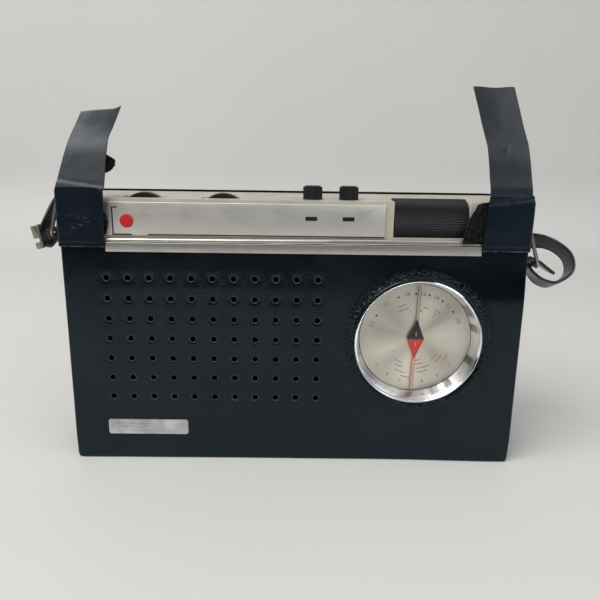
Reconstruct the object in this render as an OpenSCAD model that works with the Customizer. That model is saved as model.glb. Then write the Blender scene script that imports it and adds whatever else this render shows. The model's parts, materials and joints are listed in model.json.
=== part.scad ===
// A small transistor radio in a stitched leather slip case with a carry strap.
// Millimetres. Origin: bottom centre of the case. +X to the right, front face towards -Y, +Z up.

/* [Case] */
// Width of the leather case
case_w = 172.4; // [171:0.1:174]
// Depth of the case from its front face to its back face
case_d = 41; // [41:0.1:42]
// Height of the back panel
back_h = 103.9; // [103.7:0.1:104]
// Height of the front panel with its metal edging
front_h = 87.2; // [87:0.1:87.3]
// Thickness of the case leather
leather_t = 1.6; // [1.5:0.05:1.6]
// Radius of the case corners, seen from the front
case_corner_r = 3; // [2:0.5:4]

/* [Speaker holes] */
// Distance between neighbouring holes
hole_pitch = 7.92; // [7.5:0.02:8]
// Diameter of one hole
hole_d = 2.2; // [1.8:0.1:3]
// Number of holes along a row
hole_columns = 11; // [5:1:11]
// Number of rows
hole_rows = 7; // [3:1:7]
// Left-hand column
hole_x = -70.55; // [-72:0.05:-70]
// Bottom row
hole_z = 26.3; // [25:0.1:27]

/* [Dial] */
// Dial centre along X
dial_x = 47.6; // [47:0.1:48]
// Dial centre above the table
dial_z = 49.7; // [49:0.1:50]
// Outer radius of the chrome bezel
bezel_r = 24.6; // [24.4:0.1:24.7]
// Radius of the dial plate
plate_r = 21.9; // [21:0.1:21.9]
// How far the dial plate lies behind the front leather
dial_depth = 6; // [5.9:0.1:6.1]
// Turn of the pointer and gang, each way, over the turn of the tuning drum
tuning_ratio = 0.3; // [0.29:0.01:0.31]

/* [Cabinet] */
// Width of the plastic cabinet
cabinet_w = 168.2; // [168:0.1:168.4]
// Depth of the plastic cabinet
cabinet_d = 37.2; // [37:0.1:37.3]
// Height of the cabinet's top face above the table
cabinet_top = 103.1; // [103:0.1:103.2]
// Wall thickness of the cabinet
wall_t = 2; // [1.8:0.1:2.2]
// Height where the control panel starts
panel_z = 89.7; // [89.6:0.1:89.8]

/* [Controls] */
// Radius of the ribbed tuning drum
drum_r = 8.4; // [8.2:0.1:8.4]
// Width of the tuning drum
drum_w = 27.4; // [26:0.2:27.4]
// Radius of the volume and tone wheels
wheel_r = 9.5; // [9.3:0.1:9.6]
// Diameter of a push button
button_d = 7.2; // [7:0.1:7.3]
// How far a button stands above the top face
button_rise = 5; // [4:0.1:5]
// Travel of a button
button_travel = 2.5; // [2:0.1:2.5]

/* [Straps] */
// Height of the crease where the front straps start
crease_z = 106.4; // [106.4:0.1:106.8]
// Length of the left front strap above its crease
left_strap_l = 28.5; // [25:0.5:32]
// Length of the right front strap above its crease
right_strap_l = 38.8; // [32:0.2:39.5]
// How far the standing straps lean back, in degrees
strap_lean = 15; // [12:0.5:16]
// Width of the carry strap
carry_w = 9; // [8:0.1:9.2]
// Thickness of the carry strap
carry_t = 1.2; // [1:0.1:1.4]

/* [Hidden] */

$fn = 64;
gap = 0.05;          // running clearance and the gap between parts that touch
cut = 1;             // how far a cutting shape runs past a surface

front_y = -case_d / 2;
back_y = case_d / 2;
inner_front_y = front_y + leather_t;
cabinet_front_y = -cabinet_d / 2;
cabinet_back_y = cabinet_d / 2;
cabinet_bottom = leather_t + 0.3;
split_y = 9;
inside_front_y = cabinet_front_y + wall_t;
inside_top = cabinet_top - wall_t;

// Corner bands and straps
band_t = 1.35;
band_w = 16.5;
band_low_z = 85.5;
band_top_z = crease_z - 0.9;
band_inner_x = case_w / 2 - band_w + 0.3;
band_side_x = case_w / 2 + gap;
band_y = front_y - 0.1 - band_t;
band_side_depth = 32;
crease_y = band_y + band_t / 2;
strap_t = 1.4;
snap_x = 76;
snap_reach = 18.5;
snap_hole_r = 2.05;
snap_skin = 0.45;
ply_t = 1;

// Rear tabs
tab_hinge_y = back_y + 1.75;
tab_hinge_z = 104.8;
tab_reach = tab_hinge_y - (crease_y + snap_reach);
tab_l = tab_reach + 4;
tab_w = 16;

// Carry strap hardware
rivet_y = -5;
rivet_z = 97.6;
rivet_r = 1;
ring_wire_r = 0.72;
ring_w = 13;
ring_tab_x = band_side_x + band_t + 0.2;
ring_tab_t = 1.3;
right_ring_bar = [89.6, 92.9];
right_ring_l = 15.6;
right_ring_lean = 18;
left_ring_bar = [-89.6, 102.5];
left_ring_l = 15;
left_ring_lean = -14;

// Dial and gang
plate_y = front_y + dial_depth;
plate_t = 0.6;
pointer_y = plate_y - 0.95;
spindle_r = 0.9;
gang_pulley_r = 18;
gang_y = -3.6;
gang_d = 8.2;
vane_r = 9;
vane_t = 0.5;
vane_pitch = 1.6;
vane_count = 4;

// Drive cord
cord_r = 0.3;
drum_y = -10.6;
drum_z = 95.4;
drum_x = 36.5;
drum_pulley_r = gang_pulley_r * tuning_ratio;
drum_shaft_r = 1.5;
guide_r = 2.5;
guide_w = 1.8;
guide_post_r = 0.8;
cord_y = drum_y + drum_pulley_r;
cord_left_x = dial_x - gang_pulley_r;
cord_right_x = dial_x + gang_pulley_r;
cord_step_x = 1.4;
guide_front_z = 84;
guide_low_z = guide_front_z - guide_r;

// Controls along the top
wheel_y = -10.5;
wheel_z = cabinet_top + 1.9 - wheel_r;
wheel_t = 4.4;
volume_x = -56.9;
tone_x = -27.4;
long_wave_x = 6.3;
medium_wave_x = 19.9;
button_y = -11;
button_top = cabinet_top + button_rise;
stem_r = 1.8;
switch_top = 93;

// Speaker
speaker_x = hole_x + (hole_columns - 1) / 2 * hole_pitch;
speaker_z = hole_z + (hole_rows - 1) / 2 * hole_pitch;
speaker_r = 33;

board_y = 5;
board_t = 1.6;
battery_x = 27;

// ---------- shapes used by several parts ----------

// A block with its long edges along Y rounded, standing on its lowest Z
module upright_block(low, high, r) {
    translate([0, high[1], 0]) rotate([90, 0, 0]) linear_extrude(high[1] - low[1])
        rounded_outline([low[0], low[2]], [high[0], high[2]], r);
}

module rounded_outline(low, high, r) {
    translate([low[0] + r, low[1]]) square([high[0] - low[0] - 2 * r, high[1] - low[1]]);
    translate([low[0], low[1] + r]) square([high[0] - low[0], high[1] - low[1] - 2 * r]);
    for (x = [low[0] + r, high[0] - r], z = [low[1] + r, high[1] - r]) translate([x, z]) circle(r);
}

module block(low, high) {
    translate(low) cube(high - low);
}

// A disc or rod along Y, from y to y + length
module rod_y(x, y, z, r, length) {
    translate([x, y + length, z]) rotate([90, 0, 0]) cylinder(h = length, r = r);
}

// A disc or rod along X, from x to x + length
module rod_x(x, y, z, r, length) {
    translate([x, y, z]) rotate([0, 90, 0]) cylinder(h = length, r = r);
}

// A round outline with small ribs all round it
module ribbed_outline(r, depth, ribs) {
    polygon([for (i = [0 : 2 * ribs - 1])
        (r - depth * (i % 2)) * [cos(180 * i / ribs), sin(180 * i / ribs)]]);
}

// A plate in the XZ plane between two Y values
module plate_xz(points, y, thickness) {
    translate([0, y + thickness, 0]) rotate([90, 0, 0]) linear_extrude(thickness) polygon(points);
}

// ---------- leather case ----------

module case_front_panel() {
    color([0.05, 0.06, 0.09]) difference() {
        union() {
            upright_block([-case_w / 2, front_y, 0],
                [case_w / 2, inner_front_y, front_h - 0.5], case_corner_r);
            translate([dial_x, front_y + 0.1, dial_z]) rotate([90, 0, 0])
                rotate_extrude() translate([26.6, 0]) circle(r = 1, $fn = 24);
        }
        for (column = [0 : hole_columns - 1], row = [0 : hole_rows - 1])
            rod_y(hole_x + column * hole_pitch, front_y - cut, hole_z + row * hole_pitch,
                hole_d / 2, leather_t + 2 * cut);
        rod_y(dial_x, front_y - 2 * cut, dial_z, bezel_r + 0.25, leather_t + 4 * cut);
        // keeps the bead's inner half out of the cabinet
        block([dial_x - 30, inner_front_y, dial_z - 30], [dial_x + 30, inner_front_y + 2, dial_z + 30]);
    }
}

module case_gusset() {
    inner_x = case_w / 2 - leather_t;
    color([0.05, 0.06, 0.09]) difference() {
        upright_block([-case_w / 2, inner_front_y + gap, 0],
            [case_w / 2, back_y - leather_t - gap, 102 + case_corner_r], case_corner_r);
        block([-inner_x, front_y, leather_t], [inner_x, back_y, 120]);
        block([-case_w, front_y, 102], [case_w, back_y, 120]);
        rod_x(-case_w, rivet_y, rivet_z, rivet_r + gap, 2 * case_w);
    }
}

module case_back_panel() {
    color([0.05, 0.06, 0.09]) upright_block([-case_w / 2, back_y - leather_t, 0],
        [case_w / 2, back_y, back_h], case_corner_r);
}

// Folded metal channel over the front panel's top edge
module case_front_trim() {
    face_t = 0.4;
    low_z = 83.8;
    color([0.75, 0.75, 0.74]) difference() {
        block([-band_inner_x + 0.1, front_y - gap - face_t, low_z],
            [band_inner_x - 1.1, inner_front_y + 0.15, front_h]);
        block([-case_w, front_y - gap, low_z - cut],
            [case_w, inner_front_y + gap, front_h - 0.45]);
    }
}

// Plain grooved plate low on the front
module badge_plate() {
    low = [-73.1, 10.6];
    high = [-41.7, 16.8];
    color([0.72, 0.72, 0.72]) difference() {
        upright_block([low[0], front_y - 0.7, low[1]], [high[0], front_y - gap, high[1]], 1);
        for (step = [1 : 3])
            block([low[0] + 1.5, front_y - 1, low[1] + step * 1.55 - 0.3],
                [high[0] - 1.5, front_y - 0.45, low[1] + step * 1.55 + 0.3]);
    }
}

// Leather band that wraps one top corner, front and side
module corner_band(side) {
    side_x = band_side_x + band_t;
    mirror([side < 0 ? 1 : 0, 0, 0]) color([0.11, 0.14, 0.2]) difference() {
        union() {
            block([band_inner_x, band_y, band_low_z], [side_x, band_y + band_t, band_top_z]);
            block([band_side_x, band_y, band_low_z],
                [side_x, band_y + band_side_depth, band_top_z - 2]);
        }
        rod_x(0, rivet_y, rivet_z, rivet_r + gap, case_w);
    }
}

// Outline of a front strap: x across, and the distance above the crease
function left_strap_outline() = [[-86.2, 0.2], [-69, 0.2], [-67.6, snap_reach],
    [-63, left_strap_l + 0.7], [-77.3, left_strap_l - 0.7], [-81.4, snap_reach]];
function right_strap_outline() = [[85.5, 0.2], [83.4, snap_reach], [78.5, right_strap_l],
    [63.6, right_strap_l], [68.7, snap_reach], [70.4, 0.2]];

// Places a strap's own plane on the crease line, leaning back
module on_front_crease() {
    translate([0, crease_y, crease_z]) rotate([-strap_lean, 0, 0]) children();
}

module front_strap(outline, side) {
    color([0.16, 0.17, 0.19]) on_front_crease() difference() {
        plate_xz(outline, -strap_t / 2, strap_t);
        rod_y(side * snap_x, snap_skin - strap_t / 2, snap_reach, snap_hole_r, strap_t + cut);
    }
}

// Hollow press-stud socket set in the back of the strap, under a skin of leather
module snap_socket(side) {
    floor_t = 0.2;
    proud = 0.15;
    front = snap_skin - strap_t / 2 + gap / 2;
    color([0.2, 0.2, 0.22]) on_front_crease() difference() {
        rod_y(side * snap_x, front, snap_reach, snap_hole_r - gap, strap_t / 2 + proud - front);
        rod_y(side * snap_x, front + floor_t, snap_reach, 1.6, strap_t);
    }
}

// Loose suede lining that stands behind the left strap
module inner_ply_left() {
    color([0.07, 0.08, 0.1]) on_front_crease() translate([0, strap_t / 2 + 0.3 + ply_t, 0])
        rotate([90, 0, 0]) linear_extrude(ply_t)
            polygon([[-83, 0.9], [-70.6, 0.9], [-69.4, 5.6], [-66.7, 7.3], [-65.4, 9.4],
                [-65.8, 12], [-67.8, 13.6], [-80.5, 13.6]]);
}

// Loose suede lining that hangs in front of the cabinet's right end
module inner_ply_right() {
    color([0.07, 0.08, 0.1]) plate_xz([[85, 89.8], [62.6, 89.8], [62, 92.6], [66.3, 101.9],
        [68.3, 103.4], [85, 103.4]], front_y + 0.05, ply_t + 0.1);
}

// Tab that hangs behind the case and closes over the top under a front strap
module rear_tab(side) {
    low_z = tab_hinge_z - tab_l;
    color([0.1, 0.11, 0.14]) difference() {
        upright_block([side * snap_x - tab_w / 2, tab_hinge_y - strap_t / 2, low_z],
            [side * snap_x + tab_w / 2, tab_hinge_y + strap_t / 2, tab_hinge_z - 0.2], 0.8);
        rod_y(side * snap_x, tab_hinge_y - 2, tab_hinge_z - tab_reach, 0.85, 4);
    }
}

// Press stud: head outside, post through the tab, ball inside
module snap_stud(side) {
    stud_z = tab_hinge_z - tab_reach;
    inner_y = tab_hinge_y - strap_t / 2;
    ball_rise = 0.85;
    head_t = 0.35;
    color([0.75, 0.74, 0.7]) {
        rod_y(side * snap_x, inner_y - ball_rise / 2, stud_z, 0.8,
            ball_rise / 2 + strap_t + gap + head_t / 2);
        rod_y(side * snap_x, inner_y + strap_t + gap, stud_z, 2.6, head_t);
        rod_y(side * snap_x, inner_y - ball_rise, stud_z, 1.4, 0.6);
    }
}

// ---------- carry strap ----------

module ring_rivets() {
    inner_x = case_w / 2 - leather_t;
    color([0.7, 0.69, 0.66]) for (side = [-1, 1]) mirror([side < 0 ? 1 : 0, 0, 0]) {
        rod_x(inner_x - 0.3, rivet_y, rivet_z, rivet_r, ring_tab_x + ring_tab_t + 0.8 - inner_x);
        rod_x(inner_x - 0.35, rivet_y, rivet_z, 2.2, 0.3);
        rod_x(ring_tab_x + ring_tab_t + 0.1, rivet_y, rivet_z, 2.4, 0.8);
    }
}

// Leather tab from the rivet to the ring's bar, which it wraps
module ring_tab(bar_z) {
    low_z = min(bar_z, rivet_z - 3.6);
    high_z = max(bar_z, rivet_z + 3.6);
    difference() {
        union() {
            block([ring_tab_x, rivet_y - 4, low_z], [ring_tab_x + ring_tab_t, rivet_y + 4, high_z]);
            rod_y(right_ring_bar[0], rivet_y - 4, bar_z, ring_wire_r + 1.1, 8);
        }
        rod_x(0, rivet_y, rivet_z, rivet_r + gap, case_w);
        rod_y(right_ring_bar[0], rivet_y - 6, bar_z, ring_wire_r + gap, 12);
    }
}

module ring_tabs() {
    color([0.1, 0.11, 0.13]) {
        ring_tab(right_ring_bar[1]);
        mirror([1, 0, 0]) ring_tab(left_ring_bar[1]);
    }
}

// One wire ring hanging from its top bar, which lies along Y
module wire_ring(length) {
    r = 2.2;
    half = ring_w / 2 - r;
    for (z = [0, -length]) translate([0, half, z]) rotate([90, 0, 0])
        cylinder(h = 2 * half, r = ring_wire_r);
    for (y = [-half - r, half + r]) translate([0, y, r - length])
        cylinder(h = length - 2 * r, r = ring_wire_r);
    for (turn = [0 : 3]) {
        z = turn == 0 || turn == 3 ? -r : r - length;
        y = turn < 2 ? half : -half;
        start = [0, 270, 180, 90];
        translate([0, y, z]) rotate([90, 0, 90]) rotate([0, 0, start[turn]])
            rotate_extrude(angle = 90) translate([r, 0]) circle(ring_wire_r);
    }
}

module d_rings() {
    color([0.55, 0.54, 0.52]) {
        translate([right_ring_bar[0], rivet_y, right_ring_bar[1]])
            rotate([0, -right_ring_lean, 0]) wire_ring(right_ring_l);
        translate([left_ring_bar[0], rivet_y, left_ring_bar[1]])
            rotate([0, -left_ring_lean, 0]) wire_ring(left_ring_l);
    }
}

// The strap's drape, from its cut tail at the right ring to the left ring: a place on its
// centre line and the direction across its width.
strap_guides = [
    [[102, -5, 75.2], [0, 1, 0]],
    [[98.4, -5, 77.8], [0, 1, 0]],
    [[95, -5, 79.95], [0, 1, 0]],
    [[92.4, -5, 78.3], [0, 1, 0]],
    [[93.4, -5, 75.7], [0, 1, -0.1]],
    [[98.4, -4.5, 71.2], [0, 1, -0.4]],
    [[104.6, -3.5, 69.8], [0, 1, -0.45]],
    [[110.8, -2, 74], [0, 1, -0.48]],
    [[110.4, 1, 80.6], [0, 1, -0.48]],
    [[103.8, 6, 85.2], [0, 1, -0.6]],
    [[96.8, 14, 84.4], [0, 0.8, -0.8]],
    [[91.5, 24, 79], [0, 0.4, -1]],
    [[80, 28.5, 68], [0, 0, -1]],
    [[45, 29, 55], [0, 0, -1]],
    [[0, 29, 50], [0, 0, -1]],
    [[-45, 29, 56], [0, 0, -1]],
    [[-80, 28.5, 69], [0, 0, -1]],
    [[-91.5, 24, 82], [0, 0.4, -1]],
    [[-93.8, 13, 94], [0, 0.8, -0.7]],
    [[-94.4, 3, 98.8], [0, 1, -0.5]],
    [[-96.4, -3, 94], [0, 1, -0.3]],
    [[-98.2, -5, 88.8], [0, 1, 0]],
    [[-97.2, -5, 85], [0, 1, 0.05]],
    [[-95, -5, 84.9], [0, 1, 0.35]],
    [[-92.8, -5, 85.9], [0, 1, 0.05]],
    [[-91.35, -5, 88.1], [0, 1, 0]],
    [[-92.8, -5, 89.95], [0, 1, 0]],
    [[-95.8, -5, 89.6], [0, 1, 0]]];
strap_steps = 6;

// A smooth curve through points: the value at fraction t between b and c
function through(a, b, c, d, t) = 0.5 * (2 * b + (c - a) * t
    + (2 * a - 5 * b + 4 * c - d) * t * t + (3 * b - a - 3 * c + d) * t * t * t);
function guide(k, part) = strap_guides[max(0, min(len(strap_guides) - 1, k))][part];
function strap_value(i, part) = let (k = floor(i / strap_steps), t = i / strap_steps - k)
    through(guide(k - 1, part), guide(k, part), guide(k + 1, part), guide(k + 2, part), t);
function unit(v) = v / norm(v);

// Four corners of the strap's section at step i
function strap_section(i) = let (
        along = unit(strap_value(i + 0.5, 0) - strap_value(max(0, i - 0.5), 0)),
        rough = strap_value(i, 1),
        across = unit(rough - along * (rough * along)) * carry_w / 2,
        out = unit(cross(along, across)) * carry_t / 2,
        centre = strap_value(i, 0))
    [centre - across - out, centre + across - out, centre + across + out, centre - across + out];

module carry_strap() {
    count = (len(strap_guides) - 1) * strap_steps;
    points = [for (i = [0 : count]) each strap_section(i)];
    sides = [for (i = [0 : count - 1], k = [0 : 3])
        [4 * i + k, 4 * i + (k + 1) % 4, 4 * i + 4 + (k + 1) % 4, 4 * i + 4 + k]];
    ends = [[3, 2, 1, 0], [for (k = [0 : 3]) 4 * count + k]];
    color([0.12, 0.13, 0.15]) polyhedron(points, concat(ends, sides), convexity = 10);
}

// Folded metal clip on the left end of the strap
module strap_clip() {
    color([0.85, 0.84, 0.8]) translate([-99.85, rivet_y, 89]) rotate([0, -12, 0]) difference() {
        block([-0.9, -6, -6.5], [2.2, 6, 2.5]);
        block([0, -5.3, -5.7], [3, 5.3, 4]);
        block([1.2, -5.3, -7], [3, 5.3, -5]);
        block([-2, -7, -3.9], [1.2, 4.1, -2.4]);
    }
}

// ---------- cabinet ----------

module top_openings() {
    for (x = [volume_x, tone_x])
        block([x - 8.2, wheel_y - wheel_t / 2 - 0.4, inside_top - 8],
            [x + 8.2, wheel_y + wheel_t / 2 + 0.4, 120]);
    for (x = [long_wave_x, medium_wave_x])
        translate([x, button_y, inside_top - cut]) cylinder(h = wall_t + 2 * cut, d = button_d + 0.3);
    // the drum's opening runs from the front face on to the top, with room for the drum inside
    block([drum_x - 0.3, cabinet_front_y - cut, panel_z + 0.2], [drum_x + drum_w + 0.3, -6, 120]);
    rod_x(drum_x - 0.3, drum_y, drum_z, drum_r + 0.3, drum_w + 0.6);
    rod_x(cord_left_x - 1.5, drum_y, drum_z, drum_pulley_r + 1, 4.5);
}

module cabinet_front() {
    r = 1.5;
    color([0.74, 0.72, 0.62]) difference() {
        upright_block([-cabinet_w / 2, cabinet_front_y, cabinet_bottom],
            [cabinet_w / 2, split_y, cabinet_top], r);
        block([-cabinet_w / 2 + wall_t, inside_front_y, cabinet_bottom + wall_t],
            [cabinet_w / 2 - wall_t, split_y + cut, inside_top]);
        top_openings();
        rod_y(dial_x, cabinet_front_y - cut, dial_z, bezel_r + 0.2, wall_t + 2 * cut);
        for (row = [0 : hole_rows - 1])
            block([hole_x - 3, cabinet_front_y - cut, hole_z + row * hole_pitch - 2],
                [-hole_x + 2 * speaker_x + 3, inside_front_y + cut, hole_z + row * hole_pitch + 2]);
    }
}

module cabinet_back() {
    vent_count = 9;
    r = 1.5;
    color([0.74, 0.72, 0.62]) difference() {
        upright_block([-cabinet_w / 2, split_y + gap, cabinet_bottom],
            [cabinet_w / 2, cabinet_back_y, cabinet_top], r);
        block([-cabinet_w / 2 + wall_t, split_y - cut, cabinet_bottom + wall_t],
            [cabinet_w / 2 - wall_t, cabinet_back_y - wall_t, inside_top]);
        for (slot = [0 : vent_count - 1])
            block([speaker_x - 20, cabinet_back_y - wall_t - cut, 34 + slot * 4],
                [speaker_x + 20, cabinet_back_y + cut, 35.5 + slot * 4]);
        for (x = [-78, 78]) rod_y(x, cabinet_back_y - 4, 8, 1.6, 8);
    }
}

module cabinet_screws() {
    color([0.6, 0.6, 0.62]) for (x = [-78, 78]) difference() {
        rod_y(x, cabinet_back_y - 10, 8, 1.55, 9.7);
        block([x - 2, cabinet_back_y - 0.9, 7.7], [x + 2, cabinet_back_y + 1, 8.3]);
    }
}

// Bright ledge under the control panel
module cabinet_ledge() {
    color([0.8, 0.8, 0.79]) translate([-82, 0, 0]) rotate([90, 0, 90]) linear_extrude(164)
        polygon([[cabinet_front_y - gap, front_h + 0.25], [front_y + 0.3, front_h + 0.25],
            [front_y + 0.3, panel_z - 0.8], [front_y + 0.7, panel_z - 0.15],
            [cabinet_front_y - gap, panel_z - 0.15]]);
}

module control_panel() {
    color([0.65, 0.64, 0.61]) difference() {
        block([-83.6, cabinet_front_y - 0.75, panel_z], [33, cabinet_front_y - gap, 101.9]);
        for (x = [long_wave_x - 2.8, medium_wave_x - 2.7])
            block([x, cabinet_front_y - 2, 95.8], [x + 4.4, cabinet_front_y + 1, 97.4]);
    }
}

// ---------- dial ----------

// Chrome ring with a deep inner cone and a flange behind the cabinet wall
module dial_bezel() {
    front = -front_y + 0.9;
    back = -plate_y + 0.15;
    lip = -cabinet_front_y - wall_t;
    color([0.8, 0.8, 0.8]) translate([dial_x, 0, dial_z]) rotate([90, 0, 0]) rotate_extrude()
        polygon([[plate_r + 0.2, back], [plate_r + 1.7, front - 0.5], [plate_r + 2, front],
            [bezel_r - 0.4, front], [bezel_r, front - 0.7], [bezel_r, lip - 0.1],
            [bezel_r + 1.6, lip - 0.1], [bezel_r + 1.6, lip - 1], [bezel_r - 1.6, back]]);
}

module dial_lens() {
    color([0.9, 0.93, 0.95, 0.3]) rod_y(dial_x, front_y + 1.1, dial_z, plate_r + 0.9, 0.8);
}

module dial_plate() {
    color([0.8, 0.8, 0.79]) difference() {
        rod_y(dial_x, plate_y, dial_z, plate_r, plate_t);
        rod_y(dial_x, plate_y - cut, dial_z, spindle_r + 0.06, 2 * cut + plate_t);
    }
}

module pointer_half(points) {
    translate([dial_x, 0, dial_z]) rotate([0, 1.5, 0]) difference() {
        plate_xz(points, pointer_y - 0.5, 0.35);
        rod_y(0, pointer_y - 2, 0, 1, 4);
    }
}

module pointer_black() {
    color([0.03, 0.03, 0.04]) pointer_half([[-3.3, 0.05], [3.3, 0.05], [0, 7.7]]);
}

module pointer_red() {
    color([0.75, 0.12, 0.08]) pointer_half([[3.3, -0.05], [-3.3, -0.05], [0, -7.9]]);
}

// Narrow clear bar that carries the diamond, with a fine line on each edge
module pointer_bar() {
    reach = plate_r - 0.5;
    color([0.85, 0.85, 0.85]) translate([dial_x, 0, dial_z]) rotate([0, 1.5, 0]) difference() {
        block([-0.8, pointer_y - 0.1, -reach], [0.8, pointer_y + 0.25, reach]);
        rod_y(0, pointer_y - 2, 0, spindle_r + gap, 4);
    }
}

// Spindle, cord pulley and moving vanes of the tuning gang
module gang_rotor() {
    groove = 0.8;
    color([0.7, 0.68, 0.6]) {
        rod_y(dial_x, pointer_y - 0.6, dial_z, spindle_r, 18.2);
        difference() {
            rod_y(dial_x, cord_y - 1.2, dial_z, gang_pulley_r + groove, 2.4);
            translate([dial_x, cord_y, dial_z]) rotate([90, 0, 0]) rotate_extrude()
                translate([gang_pulley_r - cord_r, -0.5]) square([5, 1]);
            for (turn = [0 : 60 : 300]) translate([dial_x, 0, dial_z]) rotate([0, turn, 0])
                rod_y(10.5, cord_y - 3, 0, 3.6, 6);
        }
        for (i = [0 : vane_count - 1]) difference() {
            rod_y(dial_x, gang_y + 1.5 + i * vane_pitch, dial_z, vane_r, vane_t);
            block([dial_x - 10, gang_y, dial_z - 12], [dial_x + 10, gang_y + gang_d, dial_z - 2]);
        }
    }
}

// Frame and fixed vanes of the tuning gang
module gang_frame() {
    frame_r = 1;
    color([0.6, 0.6, 0.6]) {
        for (y = [gang_y, gang_y + gang_d - 0.9]) difference() {
            upright_block([dial_x - 12, y, dial_z - 13.5], [dial_x + 12, y + 0.7, dial_z + 12], frame_r);
            rod_y(dial_x, y - cut, dial_z, spindle_r + gap, 3);
        }
        for (x = [-10.6, 10.6], z = [-12, 10.6])
            rod_y(dial_x + x, gang_y + 0.6, dial_z + z, 0.9, gang_d - 1.4);
        for (i = [0 : vane_count - 2]) difference() {
            rod_y(dial_x, gang_y + 2.3 + i * vane_pitch, dial_z, 12.1, 0.4);
            rod_y(dial_x, gang_y, dial_z, 2.4, gang_d);
            block([dial_x - 14, gang_y, dial_z - 1], [dial_x + 14, gang_y + gang_d, dial_z + 14]);
        }
    }
}

// ---------- tuning drive ----------

module tuning_drum() {
    pulley_w = 3.4;
    color([0.13, 0.14, 0.15]) {
        translate([drum_x, drum_y, drum_z]) rotate([90, 0, 90]) linear_extrude(drum_w)
            ribbed_outline(drum_r, 0.3, 60);
        rod_x(cord_left_x - 3.5, drum_y, drum_z, drum_shaft_r, drum_w + 14);
        difference() {
            rod_x(cord_left_x - 1, drum_y, drum_z, drum_pulley_r + 0.7, pulley_w);
            translate([cord_left_x - 0.4, drum_y, drum_z]) rotate([0, 90, 0]) rotate_extrude()
                translate([drum_pulley_r - cord_r - 0.05, 0]) square([4, 2.2]);
        }
    }
}

// Brackets of the drum's shaft, and the posts of the three guide pulleys
module drive_brackets() {
    left_x = cord_left_x - 3.4;
    right_x = drum_x + drum_w + 0.6;
    bracket_t = 1.6;
    back = 0.4;
    foot_z = 78.5;
    color([0.72, 0.7, 0.6]) {
        for (x = [left_x, right_x]) difference() {
            block([x, drum_y - 3.6, drum_z - 3.6], [x + bracket_t, back, drum_z + 3.6]);
            rod_x(x - cut, drum_y, drum_z, drum_shaft_r + gap, bracket_t + 2 * cut);
        }
        block([left_x, back - 1.6, drum_z - 3.6], [right_x + bracket_t, back, drum_z + 3.6]);
        // front guide pulley's post, along X
        rod_x(left_x, cord_y - 2 * drum_pulley_r + guide_r, guide_front_z, guide_post_r, 8.4);
        block([left_x, drum_y - 4.6, foot_z], [left_x + 1.2, cord_y - 1, drum_z - 3]);
        block([left_x, cord_y - 4, foot_z], [cord_left_x + 5.6, cord_y - 1, foot_z + 1.2]);
        // corner guide pulley's post, along Z
        translate([cord_left_x + cord_step_x + guide_r, cord_y - guide_r, foot_z + 1])
            cylinder(h = guide_low_z - foot_z + 1, r = guide_post_r);
        // top guide pulley's post, along Y
        rod_y(cord_right_x - guide_r, cord_y - 2, guide_low_z - guide_r, guide_post_r,
            board_y - cord_y + 1.95);
    }
}

// Grooved pulley about Z, its middle at the origin
module guide_pulley() {
    color([0.8, 0.78, 0.7]) difference() {
        cylinder(h = guide_w, r = guide_r + 0.6, center = true);
        cylinder(h = guide_w + 1, r = guide_post_r + gap, center = true);
        rotate_extrude() translate([guide_r - cord_r - 0.05, -0.5]) square([3, 1]);
    }
}

module guide_pulley_front() {
    translate([cord_left_x + cord_step_x, cord_y - 2 * drum_pulley_r + guide_r, guide_front_z])
        rotate([0, 90, 0]) guide_pulley();
}

module guide_pulley_corner() {
    translate([cord_left_x + cord_step_x + guide_r, cord_y - guide_r, guide_low_z]) guide_pulley();
}

module guide_pulley_top() {
    translate([cord_right_x - guide_r, cord_y, guide_low_z - guide_r]) rotate([90, 0, 0]) guide_pulley();
}

module cord_run(a, b) {
    along = b - a;
    translate(a) rotate([0, acos(along[2] / norm(along)), atan2(along[1], along[0])])
        cylinder(h = norm(along), r = cord_r - 0.1, $fn = 16);
}

// A quarter or half turn of cord about Z
module cord_bend(r, angle) {
    rotate_extrude(angle = angle) translate([r, 0]) circle(cord_r - 0.1, $fn = 16);
}

// The straight runs and bends of the drive cord
module drive_cord() {
    front_y_run = cord_y - 2 * drum_pulley_r;
    step_x = cord_left_x + cord_step_x;
    color([0.85, 0.82, 0.7]) {
        cord_run([cord_left_x, cord_y, dial_z], [cord_left_x, cord_y, drum_z]);
        cord_run([step_x, front_y_run, guide_front_z], [step_x, front_y_run, drum_z]);
        cord_run([step_x, front_y_run + guide_r, guide_low_z], [step_x, cord_y - guide_r, guide_low_z]);
        cord_run([step_x + guide_r, cord_y, guide_low_z], [cord_right_x - guide_r, cord_y, guide_low_z]);
        cord_run([cord_right_x, cord_y, dial_z], [cord_right_x, cord_y, guide_low_z - guide_r]);
        translate([cord_left_x, drum_y, drum_z]) rotate([90, 0, 90]) cord_bend(drum_pulley_r, 180);
        translate([step_x, front_y_run + guide_r, guide_front_z]) rotate([90, 0, 90])
            rotate([0, 0, 180]) cord_bend(guide_r, 90);
        translate([step_x + guide_r, cord_y - guide_r, guide_low_z])
            rotate([0, 0, 90]) cord_bend(guide_r, 90);
        translate([cord_right_x - guide_r, cord_y, guide_low_z - guide_r])
            rotate([90, 0, 0]) cord_bend(guide_r, 90);
        translate([dial_x, cord_y, dial_z]) rotate([90, 0, 0]) rotate([0, 0, 180])
            cord_bend(gang_pulley_r, 180);
    }
}

// ---------- controls ----------

// Edge wheel with fine ribs and its own short shaft
module thumb_wheel(x) {
    color([0.1, 0.1, 0.11]) {
        translate([x, wheel_y + wheel_t / 2, wheel_z]) rotate([90, 0, 0]) linear_extrude(wheel_t)
            ribbed_outline(wheel_r, 0.35, 60);
        rod_y(x, wheel_y, wheel_z, 1.5, 8);
    }
}

module volume_wheel() { thumb_wheel(volume_x); }
module tone_wheel() { thumb_wheel(tone_x); }

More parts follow.
